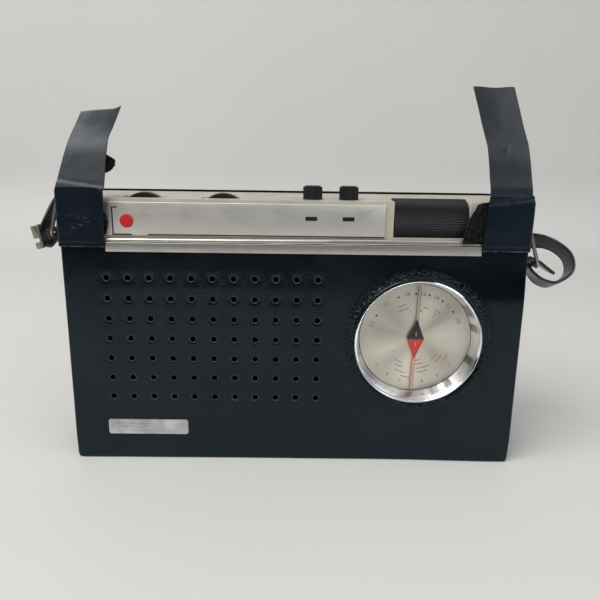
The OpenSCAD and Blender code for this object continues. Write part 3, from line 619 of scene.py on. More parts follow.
def round_corner(x, z, corner_x, corner_z, r):
    """Moves a point of a square corner on to a round one."""
    side = 1 if corner_x > 0 else -1
    up = 1 if corner_z > 0 else -1
    inside_x = (x - (corner_x - side * r)) * side
    inside_z = (z - (corner_z - up * r)) * up
    if inside_x <= 0 or inside_z <= 0:
        return x, z
    keep = max(inside_x, inside_z) / math.hypot(inside_x, inside_z)
    return corner_x - side * r + side * inside_x * keep, corner_z - up * r + up * inside_z * keep


WEAR_REACH = 34


def dial_wear(x, z):
    """Height of the torn bead and its creases round the dial window."""
    r = math.hypot(x - DIAL[0], z - DIAL[2])
    if r >= WEAR_REACH:
        return 0.0
    turn = math.atan2(x - DIAL[0], z - DIAL[2])
    wobble = 0.5 * lumps(3 * math.cos(turn), 3 * math.sin(turn), 1.7)
    tatter = 0.55 + 0.5 * lumps(9 * math.cos(turn), 9 * math.sin(turn), r / 1.6)
    worn = 0.2 + 0.8 * ease((math.cos(turn - 2.2) + 0.6) / 1.3)
    score = ease((turn + 1.35) / 0.1) * ease((-0.5 - turn) / 0.1)
    rise = 0.5 * bump_at(r, 26.4 + wobble, 0.75) * tatter * worn
    rise += 0.35 * bump_at(r, 28.4 + 1.4 * wobble, 0.6) * max(0, tatter - 0.4) * worn
    rise += 0.35 * bump_at(r, 26.3 + 0.5 * (turn + 1), 0.28) * score
    return rise - 0.3 * bump_at(r, WINDOW_R, 0.4)


def front_rise(x, z):
    """How far the front leather stands proud of flat."""
    rise = 0.14 * ripple(x, z, 36) + 0.04 * ripple(x, z, 9, 3)
    rise += 1.3 * ease((x - 25) / (CASE_X - 25)) * (1 - 0.9 * ease((z - 66) / 14))
    rise += 0.25 * ease((-x - 60) / (CASE_X - 60))
    rise += 0.35 * ease((25 - z) / 25)
    rise -= 0.12 * bump_at(z, 1.5, 0.3)
    rise += dial_wear(x, z)
    column = round((x - HOLE_X) / HOLE_PITCH)
    row = round((z - HOLE_Z) / HOLE_PITCH)
    if 0 <= column < HOLE_COLUMNS and 0 <= row < HOLE_ROWS:
        away = math.hypot(x - HOLE_X - column * HOLE_PITCH, z - HOLE_Z - row * HOLE_PITCH)
        rise -= 0.22 * bump_at(away, HOLE_R - 0.2, 0.55)
        rise += 0.05 * bump_at(away, HOLE_R + 0.9, 0.4)
    return rise


def side_swell(x, z):
    """How far the soft sides belly out: most at mid height, more on the right."""
    out = 0.45 if x > 0 else 0.3
    return math.copysign(out, x) * ease(z / 12) * ease((abs(x) - 70) / (CASE_X - 70))


def hole_centres():
    return [(HOLE_X + column * HOLE_PITCH, HOLE_Z + row * HOLE_PITCH)
            for column in range(HOLE_COLUMNS) for row in range(HOLE_ROWS)]


def case_front():
    """The front leather with its punched holes and the dial window, on a grid that fits round each."""
    per_cell = 5
    step = HOLE_PITCH / per_cell
    cell_x = [HOLE_X + HOLE_PITCH * (k - 0.5) for k in range(HOLE_COLUMNS + 1)]
    cell_z = [HOLE_Z + HOLE_PITCH * (k - 0.5) for k in range(-1, HOLE_ROWS + 2)]
    window = (cell_x[-1], 2 * DIAL[0] - cell_x[-1])
    xs = merged(
        [-CASE_X + s for s in EDGE_STEPS], spread(-CASE_X + EDGE_STEPS[-1], cell_x[0], step),
        spread(cell_x[0], cell_x[-1], step), np.linspace(*window, per_cell * (len(cell_z) - 1) + 1),
        spread(window[1], CASE_X - EDGE_STEPS[-1], 0.7), [CASE_X - s for s in EDGE_STEPS],
    )
    zs = merged(EDGE_STEPS, spread(EDGE_STEPS[-1], cell_z[0], step), spread(cell_z[0], cell_z[-1], step),
                [cell_z[-1], FRONT_TOP])
    flat = [(x, z) for x in xs for z in zs]
    taken = set()
    faces = []

    def corner(i, j):
        return i * len(zs) + j

    def add_ring(places):
        flat.extend(places)
        return list(range(len(flat) - len(places), len(flat)))

    def patch(x_range, z_range, centre, radii, shares=()):
        """Rings of faces from a round hole out to the patch's square edge. shares places the last ones."""
        i0, i1 = (nearest(xs, x) for x in x_range)
        j0, j1 = (nearest(zs, z) for z in z_range)
        taken.update((i, j) for i in range(i0, i1) for j in range(j0, j1))
        loop = [corner(i, j0) for i in range(i0, i1)] + [corner(i1, j) for j in range(j0, j1)]
        loop += [corner(i, j1) for i in range(i1, i0, -1)] + [corner(i0, j) for j in range(j1, j0, -1)]
        middle_point = np.array(centre)
        ways = [np.array(flat[k]) - middle_point for k in loop]
        rings = [add_ring([tuple(middle_point + way / math.hypot(*way) * r) for way in ways]) for r in radii]
        edge = rings[-1]
        for share in shares:
            rings.append(add_ring([tuple(np.array(flat[inner]) * (1 - share) + np.array(flat[outer]) * share)
                                   for outer, inner in zip(loop, edge)]))
        rings.append(loop)
        for inner, outer in zip(rings, rings[1:]):
            for k in range(len(loop)):
                after = (k + 1) % len(loop)
                faces.append((outer[k], outer[after], inner[after], inner[k]))

    for number, centre in enumerate(hole_centres()):
        column, row = divmod(number, HOLE_ROWS)
        patch(cell_x[column:column + 2], cell_z[row + 1:row + 3], centre, (HOLE_R, 1.25, 1.6, 2.3))
    ring_radii = [WINDOW_R] + spread(WINDOW_R + 0.25, 29.6, 0.36) + [30.4, 31.6, 33.2]
    patch(window, (cell_z[0], cell_z[-1]), (DIAL[0], DIAL[2]), ring_radii, (0.35, 0.7))
    for i in range(len(xs) - 1):
        for j in range(len(zs) - 1):
            if (i, j) not in taken:
                faces.append((corner(i, j), corner(i + 1, j), corner(i + 1, j + 1), corner(i, j + 1)))
    points = []
    for x, z in flat:
        drop = edge_drop(min(CASE_X - abs(x), z), EDGE_STEPS[-1])
        round_x, round_z = round_corner(x, z, math.copysign(CASE_X, x), 0, CORNER_R)
        points.append((round_x + side_swell(round_x, z), FRONT_Y + drop - front_rise(x, z), round_z))
    sheet = piece("case_front_leather", points, faces, "case_leather", CASE, facing=(0, -1, 0),
                  nodes=("case_front_panel",))
    thicken(sheet, LEATHER_T - 0.15, 0.12, raw_edge=True)


def hole_rims():
    """The raised, worn lip round each punched hole."""
    profile = ((HOLE_R - 0.04, 0.5), (HOLE_R - 0.02, 0.0), (HOLE_R + 0.1, -0.13), (HOLE_R + 0.3, -0.1),
               (HOLE_R + 0.5, 0.06))
    count = 16
    points, faces = [], []
    for centre_x, centre_z in hole_centres():
        faces += shifted(grid_faces(count, len(profile), closed=True), len(points))
        for k in range(count):
            turn = 2 * math.pi * k / count
            uneven = 1 + 0.5 * lumps(centre_x + turn, centre_z, 3)
            for r, depth in profile:
                x, z = centre_x + r * math.cos(turn), centre_z + r * math.sin(turn)
                rise = -front_rise(x, z) + (depth * uneven if depth < 0 else depth)
                points.append((x, FRONT_Y + rise, z))
    piece("case_hole_rims", points, faces, "hole_edge", CASE, 60, facing=(0, -1, 0))


def stitches(name, places):
    """Thread: one small lozenge per (place, direction along the seam, direction out of the leather)."""
    length, width, lift = 2.3, 0.55, 0.22
    rows, ring = 5, 8
    points, faces = [], []
    for place, along, out in places:
        place, along, out = Vector(place), Vector(along).normalized(), Vector(out).normalized()
        side = along.cross(out)
        faces += shifted(tube_faces(rows, ring), len(points))
        for r in range(rows):
            t = -1 + 2 * r / (rows - 1)
            girth = math.sqrt(max(0.02, 1 - t * t * 0.98))
            for k in range(ring):
                turn = 2 * math.pi * k / ring
                points.append(place + along * t * length / 2 + side * math.cos(turn) * girth * width / 2
                              + out * (math.sin(turn) * girth * lift))
    piece(name, points, faces, "ink_black", CASE)


def gusset_stations(step=3.0):
    """The U-shaped run of the gusset: (place, outward direction), left top to right top."""
    right, down = Vector((1, 0, 0)), Vector((0, 0, -1))
    centre = Vector((CASE_X - CORNER_R, 0, CORNER_R))
    half = [(centre + out * CORNER_R, out) for out in bend((0, 0, 0), 0, 90, 1, down, right, 9)[1:-1]]
    half += [(Vector((CASE_X, 0, z)), right) for z in spread(CORNER_R, gusset_high[2], step)]
    flip = Matrix.Scale(-1, 3, right)
    floor = [(Vector((x, 0, 0)), down) for x in spread(-CASE_X + CORNER_R, CASE_X - CORNER_R, step)]
    return [(flip @ place, flip @ out) for place, out in reversed(half)] + floor + half


def case_sides():
    """The gusset: sides and bottom in one strip, seams rolled in along both edges."""
    low_y, high_y = gusset_low[1] - 0.6, gusset_high[1]
    across = edged(low_y, high_y, 2.6, (0, 0.1, 0.3, 0.6))
    thread_in = 3.2
    rows = []
    for place, out in gusset_stations():
        swell = Vector((side_swell(place.x, place.z), 0, 0))
        outer, inner = [], []
        for y in across:
            edge = min(y - low_y, high_y - y)
            lift = -0.25 * bump_at(edge, 0, 0.35) - 0.12 * bump_at(edge, thread_in, 0.5)
            lift += 0.12 * lumps(place.x / 30, y / 12, place.z / 30)
            if out.z < -0.5:
                lift = min(lift, 0)
            here = place + Vector((0, y, 0))
            outer.append(here + out * min(lift, 0.12) + swell)
            inner.append(here - out * LEATHER_T)
        rows.append(outer + inner[::-1])
    points = [p for row in rows for p in row]
    piece("case_side_leather", points, tube_faces(len(rows), len(rows[0])), "case_leather", CASE, 50,
          nodes=("case_gusset",))
    seams = []
    stations = gusset_stations(3.4)
    for (place, out), (after, _) in zip(stations, stations[1:]):
        if place.z > 84 or out.z < -0.5:
            continue
        swell = Vector((side_swell(place.x, place.z), 0, 0))
        for y in (low_y + thread_in, high_y - thread_in):
            seams.append((place + Vector((0, y, 0)) + out * 0.02 + swell, after - place, out))
    stitches("case_side_stitches", seams)


def case_back():
    """The back panel, edges rounded, with a row of stitching inside its edge."""
    top = back_high[2]
    spacing = 3.4
    xs, zs = edged(-CASE_X, CASE_X, spacing), edged(0, top, spacing)
    seam_in = 3.6
    points = []
    for z in zs:
        for x in xs:
            inset = min(CASE_X - abs(x), z, top - z)
            drop = edge_drop(inset, EDGE_STEPS[-1] * 0.9)
            rise = (0.35 * ripple(x, z, 48, 9) + 0.08 * ripple(x, z, 12, 4)) * min(1, inset / 6)
            rise -= 0.25 * bump_at(inset, seam_in, 0.8)
            corner_z = top if z > top / 2 else 0
            round_x, round_z = round_corner(x, z, math.copysign(CASE_X, x), corner_z, CORNER_R)
            points.append((round_x, BACK_Y - drop + min(rise, 0.15), round_z))
    sheet = piece("case_back_leather", points, grid_faces(len(zs), len(xs)), "case_leather", CASE,
                  facing=(0, 1, 0), nodes=("case_back_panel",))
    thicken(sheet, LEATHER_T - 0.15, 0.12)
    y = BACK_Y - 0.1
    seams = [((x, y, seam_in), (1, 0, 0), (0, 1, 0))
             for x in spread(-CASE_X + seam_in + 2, CASE_X - seam_in - 2, spacing)]
    seams += [((x, y, z), (0, 0, 1), (0, 1, 0))
              for z in spread(seam_in + 2, top - 6, spacing) for x in (-CASE_X + seam_in, CASE_X - seam_in)]
    stitches("case_back_stitches", seams)


# ---------- corner bands and front straps ----------


# the straps lean back, and each carries its press stud this far up
LEAN = math.radians(15)
SNAP_REACH = 18.5


def strap_levels(node, crease):
    """A standing strap's foot, stud and head, each as (height above the crease, inner edge, outer edge)."""
    points = node_points(node)
    above = (points[:, 1] - crease[0]) * math.sin(LEAN) + (points[:, 2] - crease[1]) * math.cos(LEAN)
    levels = []
    for height, reach in ((above.min(), 0.6), (SNAP_REACH, 1.0), (above.max(), 1.8)):
        across = np.abs(points[np.abs(above - height) < reach][:, 0])
        levels.append((height, across.min(), across.max()))
    return levels


def band_sheet(side, name, crease_z):
    """The corner band's columns and rows, and what places a point of it.

    A column's run goes along the front, round the corner and back along the side. The columns up to the
    middle of the corner carry on into the strap, and the others stop at the side's top.
    """
    low, high = box_mm(f"corner_band_{name}")
    left = side < 0
    inner_x = min(abs(low[0]), abs(high[0]))
    outer_x = max(abs(low[0]), abs(high[0])) - 0.45
    front, bottom = low[1], low[2]
    side_top = crease_z - 2.9
    corner_r = 1.5
    front_run = outer_x - corner_r - inner_x
    corner_end = front_run + math.pi / 2 * corner_r
    side_end = corner_end + high[1] - front - corner_r
    columns = merged((0, 0.25, 0.6), spread(0.6, front_run, 0.5), spread(front_run, corner_end, 0.3))
    shared = len([run for run in columns if run <= (front_run + corner_end) / 2 + 0.01])
    columns += spread(corner_end, side_end, 1.2)[1:]
    rows = merged((bottom, bottom + 0.3), spread(bottom + 0.3, side_top, 0.5),
                  spread(side_top, crease_z - 0.8, 0.5))

    def place(run, z):
        share = (z - bottom) / (crease_z - bottom)
        edge = min(run, z - bottom)
        out = -0.16 * bump_at(edge, 1.3, 0.3) - 0.6 * edge_drop(min(edge, 0.5), 0.5)
        out += 0.12 * ripple(run, z, 6, 11 + side) + 0.05 * ripple(run, z, 2.0, 5 + side)
        if left:
            out -= 0.14 * bump_at(z, bottom + 9.5 + 0.12 * run, 0.35)
        else:
            out -= 0.5 * bump_at(z, crease_z - 3.2 + 0.12 * run, 0.7)
        if run <= front_run:
            # the inner edge flares, the left one's at the top and the right one's at the bottom
            flare = (-0.8 * share if left else share - 1.0) * (1 - run / front_run)
            return Vector((side * (inner_x + run + flare), front - out, z))
        if run <= corner_end:
            turn, r = (run - front_run) / corner_r, corner_r + out
            x = inner_x + front_run + r * math.sin(turn)
            return Vector((side * x, front + corner_r - r * math.cos(turn), z))
        along = run - corner_end
        swell = 0.3 * share * max(0.0, 1 - along / 6) if left else 0.0
        return Vector((side * (outer_x + out + swell), front + corner_r + along, z))

    return columns, shared, rows, side_top + 0.01, place


def strap_sheet(side, name, crease):
    """The standing strap's rows, and what places a point of it by its share across and its height."""
    left = side < 0
    foot, waist, head = strap_levels(f"front_strap_{name}", crease)
    dimple_x, dimple_v = 75.3, 17.0
    slant = 0.65 if left else 0.0
    length = head[0] - slant
    up = Vector((0, math.sin(LEAN), math.cos(LEAN)))
    outward = Vector((0, -math.cos(LEAN), math.sin(LEAN)))

    def edge(v, which):
        """Two straight runs with a soft bend at the stud."""
        below = foot[which] + (waist[which] - foot[which]) * (v - foot[0]) / (waist[0] - foot[0])
        above = waist[which] + (head[which] - waist[which]) * (v - waist[0]) / (head[0] - waist[0])
        share = ease((v - waist[0] + 3) / 6)
        return below * (1 - share) + above * share

    def place(share, v):
        x = edge(v, 1) + (edge(v, 2) - edge(v, 1)) * share
        tip = v / length
        curl = 0.9 * max(0.0, 0.16 - share) / 0.16 if left else 0.3 * math.cos(2 * math.pi * share)
        here = v + (slant * (1 - 2 * share) + curl) * tip ** 4
        out = 0.68 + 0.75 * bump_at(v, 13.5, 6.0) - 0.5 * (2 * share - 1) ** 2 * tip
        out += 0.07 * ripple(share * 14, v, 4, 21 + side) + 0.3 * ripple(share * 5, v, 14, 2 + side)
        if left:
            ridge = 2.3 * share - 0.2
            out += 0.2 * bump_at(v, ridge, 0.5) - 0.15 * bump_at(v, ridge + 1.4, 0.6)
        else:
            out -= 0.55 * bump_at(v, 0.4, 1.1)
            out += 0.3 * bump_at(x, dimple_x, 1.1) * bump_at(v, dimple_v, 1.9)
        return Vector((side * x, *crease)) + up * here + outward * out

    return spread(0.0, length, 0.6), place


def front_strap(side, name):
    """The corner band and the strap that stands above its crease: one piece of leather."""
    crease_y, crease_z = np.array(JOINTS[f"{name}_strap_fold"]["pos_m"][1:]) / MM
    columns, shared, band_rows, side_top, band_place = band_sheet(side, name, crease_z)
    strap_rows, strap_place = strap_sheet(side, name, (crease_y, crease_z))
    points, keys, faces, looks = [], {}, [], []
    for j, z in enumerate(band_rows):
        for i, run in enumerate(columns):
            if i < shared or z <= side_top:
                keys[i, j] = len(points)
                points.append(band_place(run, z))
    for j, v in enumerate(strap_rows, len(band_rows)):
        for i in range(shared):
            keys[i, j] = len(points)
            points.append(strap_place(columns[i] / columns[shared - 1], v))
    for i in range(len(columns) - 1):
        for j in range(len(band_rows) + len(strap_rows) - 1):
            corners = [(i, j), (i + 1, j), (i + 1, j + 1), (i, j + 1)]
            if all(corner in keys for corner in corners):
                faces.append(tuple(keys[corner] for corner in corners))
                looks.append(0 if j <= len(band_rows) else 1)
    sheet = piece(f"strap_leather_{name}", points, faces, "band_leather", facing=(0, -1, 0),
                  nodes=(f"corner_band_{name}", f"front_strap_{name}"))
    # the strap above the crease: the left one in its own leather, the right one in the copy darkened as painted
    # shade
    sheet.data.materials.append(LOOKS["strap_leather" if side < 0 else "strap_leather_shaded"])
    sheet.data.polygons.foreach_set("material_index", looks)
    thicken(sheet, 1.0, 0.25, raw_edge=True)
    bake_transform(sheet)


def suede_ply(name, body, outline, thickness=0.9, nodes=()):
    """A loose suede lining with a frayed, lumpy nap: outline(t, s) gives the place."""
    rows, columns = 44, 40
    points = []
    for r in range(rows):
        for c in range(columns):
            t, s = r / (rows - 1), c / (columns - 1)
            edge = min(t, 1 - t, s, 1 - s)
            fray = 0.3 * lumps(t * 30, s * 30, 3) * (1 if edge < 0.02 else 0.2)
            nap = 0.22 * lumps(t * 9, s * 9, 8) + 0.14 * lumps(t * 24, s * 24, 1)
            points.append(outline(t, s) + Vector((fray, -abs(nap), fray)))
    sheet = piece(name, points, grid_faces(rows, columns), "suede", body, facing=(0, -1, 0), nodes=nodes)
    thicken(sheet, thickness)


def inner_plies():
    left_low, left_high = box_mm("inner_ply_left")
    right_low, right_high = box_mm("inner_ply_right")
    panel_foot = box_mm("control_panel")[0][2]
    band_inner = box_mm("corner_band_left")[1][0]

    def standing(t, s):
        """A rounded lobe that shows past the strap's inner edge, two thirds of the way up."""
        z = left_low[2] + 0.3 + (left_high[2] - left_low[2] - 0.3) * t
        y = left_low[1] + 0.25 + (left_high[1] - left_low[1] - 1.0) * t
        lobe = left_high[0] - 5.2 + 5.0 * ease((t - 0.25) / 0.4) - 3.6 * ease((t - 0.78) / 0.22)
        return Vector((left_low[0] + (lobe - left_low[0]) * s, y, z))

    def hanging(t, s):
        """Hangs from behind the right strap, its free edge belling out over the ledge."""
        z = right_low[2] - 1.6 * (1 - t) ** 2 + (right_high[2] - right_low[2]) * t
        free = right_low[0] - 0.3 + 5.6 * t * t + 1.8 * ease((t - 0.92) / 0.08)
        bell = (0.4 + 1.2 * math.sin(math.pi * min(1, 0.15 + t))) * max(0, 1 - s * 3) ** 1.2
        return Vector((free + (right_high[0] - free) * s, right_low[1] + 0.1 - bell, z))

    def sliver(t, s):
        """The thin edge of lining seen beside the left band."""
        reach = 1.4 * math.sin(math.pi * t) ** 0.5
        return Vector((band_inner - 1.5 + (1.3 + reach) * s, panel_low[1] + 0.9, panel_foot + 0.4 + 8.2 * t))

    suede_ply("suede_ply_left", "front_strap_left_body", standing, nodes=("inner_ply_left",))
    suede_ply("suede_ply_right", CASE, hanging, nodes=("inner_ply_right",))
    suede_ply("suede_edge_left", CASE, sliver, 0.5)


def rear_tab(name):
    """A tab that grows out of the back panel's top edge and hangs down behind it."""
    low, high = box_mm(f"rear_tab_{name}")
    centre_x, half = (low[0] + high[0]) / 2, (high[0] - low[0]) / 2
    outer_y, root_y = high[1], BACK_Y - 0.2
    loop_r = (outer_y - root_y) / 2
    turn_z = back_high[2] - 0.8
    path = [Vector((0, outer_y, z)) for z in spread(low[2], turn_z, 1.0)]
    path += bend((0, root_y + loop_r, turn_z), 0, 180, loop_r, (0, 1, 0), (0, 0, 0.65 / loop_r), 13)[1:]
    path += [Vector((0, root_y, turn_z - drop)) for drop in (0.6, 2.0, 4.0)]
    shares = edged(0, 1, 0.05, (0, 0.02, 0.05))
    points = []
    for place in path:
        pull = edge_drop(place.z - low[2], 5.0)
        for share in shares:
            x = (half - pull) * (2 * share - 1)
            edge = min(share, 1 - share) * 2 * half
            dent = 0.18 * bump_at(edge, 1.6, 0.35) + 0.07 * ripple(x, place.z, 5, 31)
            points.append(place + Vector((centre_x + x, -dent if place.y > BACK_Y + 1 else 0, 0)))
    sheet = piece(f"tab_leather_{name}", points, grid_faces(len(path), len(shares)), "band_leather",
                  facing=(0, 1, 0.2), nodes=(f"rear_tab_{name}",))
    thicken(sheet, 1.1, 0.25, raw_edge=True)
    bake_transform(sheet)


# ---------- carry strap ----------


# half the thickness of the rings' wire
WIRE_R = 0.72


def side_points(node, side):
    """The node's own vertices on one side of the radio."""
    points = node_points(node)
    return points[points[:, 0] * side > 0]


def carry_guides():
    """The strap's drape from its cut tail to the left ring: a place, and the direction across it."""
    right_ring, left_ring = side_points("d_rings", 1), side_points("d_rings", -1)
    rx, rz = right_ring[:, 0].max() - WIRE_R, right_ring[:, 2].min() + WIRE_R
    lx, lz = left_ring[:, 0].min() + WIRE_R, left_ring[:, 2].min() + WIRE_R
    y = middle("ring_rivets")[1]
    behind = BACK_Y + 8.5
    return [
        ((rx + 7.6, y, rz - 2.9), (0, 1, 0)),
        ((rx + 4.0, y, rz - 0.3), (0, 1, 0)),
        ((rx + 0.6, y, rz + 1.9), (0, 1, 0)),
        ((rx - 2.0, y, rz + 0.2), (0, 1, 0)),
        ((rx - 1.0, y, rz - 2.4), (0, 1, -0.1)),
        ((rx + 4.0, y + 0.5, rz - 6.9), (0, 1, -0.4)),
        ((rx + 10.2, y + 1.5, rz - 8.3), (0, 1, -0.45)),
        ((rx + 16.4, y + 3, rz - 4.1), (0, 1, -0.48)),
        ((rx + 16.0, y + 6, rz + 2.5), (0, 1, -0.48)),
        ((rx + 9.4, y + 11, rz + 7.1), (0, 1, -0.6)),
        ((rx + 2.4, y + 19, rz + 6.3), (0, 0.8, -0.8)),
        ((rx - 2.9, behind - 5, rz + 0.9), (0, 0.4, -1)),
        ((rx - 14.4, behind - 0.5, rz - 10), (0, 0, -1)),
        ((rx * 0.48, behind, rz - 23), (0, 0, -1)),
        ((0, behind, rz - 28), (0, 0, -1)),
        ((lx * 0.48, behind, rz - 22), (0, 0, -1)),
        ((lx + 13.2, behind - 0.5, rz - 9), (0, 0, -1)),
        ((lx + 1.7, behind - 5, lz - 6), (0, 0.4, -1)),
        ((lx - 0.6, y + 18, lz + 6), (0, 0.8, -0.7)),
        ((lx - 1.2, y + 8, lz + 10.8), (0, 1, -0.5)),
        ((lx - 3.2, y + 2, lz + 6), (0, 1, -0.3)),
        ((lx - 5.0, y, lz + 0.9), (0, 1, 0)),
        ((lx - 4.0, y, lz - 3), (0, 1, 0.05)),
        ((lx - 1.8, y, lz - 3.1), (0, 1, 0.35)),
        ((lx + 0.4, y, lz - 2), (0, 1, 0.05)),
        ((lx + 1.9, y, lz + 0.2), (0, 1, 0)),
        ((lx + 0.4, y, lz + 2), (0, 1, 0)),
        ((lx - 2.6, y, lz + 1.6), (0, 1, 0)),
    ]


def through(a, b, c, d, t):
    """A smooth curve: the value at share t of the way from b to c."""
    bend_in, bend_out = 2 * a - 5 * b + 4 * c - d, 3 * b - a - 3 * c + d
    return 0.5 * (2 * b + (c - a) * t + bend_in * t * t + bend_out * t ** 3)


def carry_strap():
    guides = [(Vector(place), Vector(width)) for place, width in carry_guides()]
    steps, last = 12, len(guides) - 1
    places, widths = [], []
    for k in range(last * steps + 1):
        leg = min(k // steps, last - 1)
        near = [guides[max(0, min(last, leg + n))] for n in (-1, 0, 1, 2)]
        for line, run in zip((places, widths), zip(*near)):
            line.append(through(*run, k / steps - leg))
    half_w, half_t = 4.5, 0.6
    # half of each face, from its edge in to its middle, with the creased line along the edge
    inner_face = [(1, 0.45), (0.97, 0.8), (0.9, 1), (0.8, 0.9), (0.5, 1), (0, 1.05)]
    outer_face = [(1, 0.45), (0.97, 0.8), (0.9, 1), (0.8, 0.86), (0.5, 1), (0, 1.08)]
    profile = [(-a, -b) for a, b in inner_face] + [(a, -b) for a, b in inner_face[-2::-1]]
    profile += outer_face + [(-a, b) for a, b in outer_face[-2::-1]]
    points = []
    for k, place in enumerate(places):
        along = (places[min(k + 1, len(places) - 1)] - places[max(k - 1, 0)]).normalized()
        across = (widths[k] - along * widths[k].dot(along)).normalized()
        out = along.cross(across).normalized()
        points += [place + across * half_w * a + out * half_t * b for a, b in profile]
    piece("carry_strap_leather", points, tube_faces(len(places), len(profile)), "carry_leather",
          "carry_strap_body", 50, nodes=("carry_strap",))


def ring_tab(side, name):
    """A leather tab folded round its ring's top bar and back on itself."""
    wrap_r = 1.75
    away = -side
    tab, wires = side_points("ring_tabs", side), side_points("d_rings", side)
    bar_z = max(wires[:, 2]) - WIRE_R
    bar_x = float(np.mean(wires[wires[:, 2] > bar_z][:, 0])) * side
    far_z = min(tab[:, 2]) + 0.2 if side < 0 else max(tab[:, 2]) - 0.2
    wrap_x, outer_x = bar_x - 0.15, bar_x + wrap_r - 0.3
    path = [Vector((outer_x - 0.45 * bump_at(z, far_z, 3.0), 0, z))
            for z in spread(far_z, bar_z - away * 0.2, 0.6)]
    path += bend((wrap_x, 0, bar_z), 0, 180, wrap_r, (1, 0, 0), (0, 0, away), 12)[1:-1]
    path += [Vector((wrap_x - wrap_r, 0, bar_z - away * drop)) for drop in (0.5, 1.5, 3.0)]
    half = (max(tab[:, 1]) - min(tab[:, 1])) / 2 - 0.15
    centre_y = (max(tab[:, 1]) + min(tab[:, 1])) / 2
    shares = edged(-1, 1, 0.12, (0, 0.04, 0.12))
    points = []
    for place in path:
        pull = edge_drop(abs(place.z - far_z), 2.6)
        for share in shares:
            dent = 0.14 * bump_at(abs(share), 0.82, 0.06) + 0.06 * ripple(share * 4, place.z, 2.4, 9 + side)
            points.append((side * (place.x - dent), centre_y + (half - pull) * share, place.z))
    sheet = piece(f"ring_tab_leather_{name}", points, grid_faces(len(path), len(shares)), "carry_leather",
                  "carry_strap_body", facing=(side, 0, 0), nodes=("ring_tabs",))
    thicken(sheet, 0.95, 0.2, raw_edge=True)


# ---------- inside the radio ----------


def grille_weave():
    """The speaker cloth: stretched, with a slack ripple and a folded hem."""
    columns, rows = (spread(cloth_low[k], cloth_high[k], 1.5) for k in (0, 2))
    points = []
    for z in rows:
        for x in columns:
            edge = min(x - cloth_low[0], cloth_high[0] - x, z - cloth_low[2], cloth_high[2] - z)
            slack = 0.07 * ripple(x, z, 9, 14) * min(1.0, edge / 4) - (0.05 if edge < 2 else 0)
            points.append((x, cloth_low[1] + 0.1 + slack, z))
    sheet = piece("grille_cloth_weave", points, grid_faces(len(rows), len(columns)), "cloth", CASE,
                  facing=(0, -1, 0), nodes=("grille_cloth",))
    thicken(sheet, 0.18, 0)


def cord_route():
    """The drive cord's line: round the drum pulley, over two guides, down and round the gang pulley."""
    low, high = box_mm("drive_cord")
    r = 0.3
    left_x, right_x = low[0] + r, high[0] - r
    front_y, cord_y = low[1] + r, high[1] - r
    drum_r = (cord_y - front_y) / 2
    drum_z = high[2] - r - drum_r
    gang = middle("gang_rotor")
    step_x, _, front_z = middle("guide_pulley_front")
    low_z, top_z = middle("guide_pulley_corner")[2], middle("guide_pulley_top")[2]
    guide_r = front_z - low_z
    right, back, up = (1, 0, 0), (0, 1, 0), (0, 0, 1)
    over = bend((left_x, front_y + drum_r, drum_z), 0, 180, drum_r, back, up)
    sideways = [(step_x - left_x) * k / (len(over) - 1) for k in range(len(over))]
    route = [Vector((left_x, cord_y, z)) for z in spread(gang[2], drum_z, 3)]
    route += [place + Vector((shift, 0, 0)) for place, shift in zip(over, sideways)]
    route += [Vector((step_x, front_y, z)) for z in spread(drum_z, front_z, 3)[1:]]
    route += bend((step_x, front_y + guide_r, front_z), 180, 270, guide_r, back, up, 6)
    route += [Vector((step_x, y, low_z)) for y in spread(front_y + guide_r, cord_y - guide_r, 2)[1:]]
    route += bend((step_x + guide_r, cord_y - guide_r, low_z), 180, 90, guide_r, right, back, 6)
    route += [Vector((x, cord_y, low_z)) for x in spread(step_x + guide_r, right_x - guide_r, 3)[1:]]
    route += bend((right_x - guide_r, cord_y, top_z), 90, 0, guide_r, right, up, 6)
    route += [Vector((right_x, cord_y, z)) for z in spread(top_z, gang[2], 3)[1:]]
    return route + bend((gang[0], cord_y, gang[2]), 0, -180, (right_x - left_x) / 2, right, up, 36)[1:-1]


def drive_cord():
    """Twisted cord, two strands laid round each other along the route."""
    route = cord_route()
    spacing, strand_r, lay = 0.45, 0.14, 2.4
    dense = []
    for here, there in zip(route, route[1:]):
        count = max(1, round((there - here).length / spacing))
        dense += [here.lerp(there, k / count) for k in range(count)]
    dense.append(route[-1])
    points, faces = [], []
    for strand in (0, math.pi):
        faces += shifted(tube_faces(len(dense), 4), len(points))
        travelled = 0.0
        for k, place in enumerate(dense):
            ahead = dense[min(k + 1, len(dense) - 1)]
            along = (ahead - dense[max(k - 1, 0)]).normalized()
            side = along.cross(Vector((0.31, 0.83, 0.46))).normalized()
            other = along.cross(side)
            twist = 2 * math.pi * travelled / lay + strand
            core = place + strand_r * (side * math.cos(twist) + other * math.sin(twist))
            points += bend(core, 0, 270, strand_r, side, other, 3)
            travelled += (ahead - place).length
    piece("drive_cord_twist", points, faces, "cord_fabric", CASE, 60, nodes=("drive_cord",))


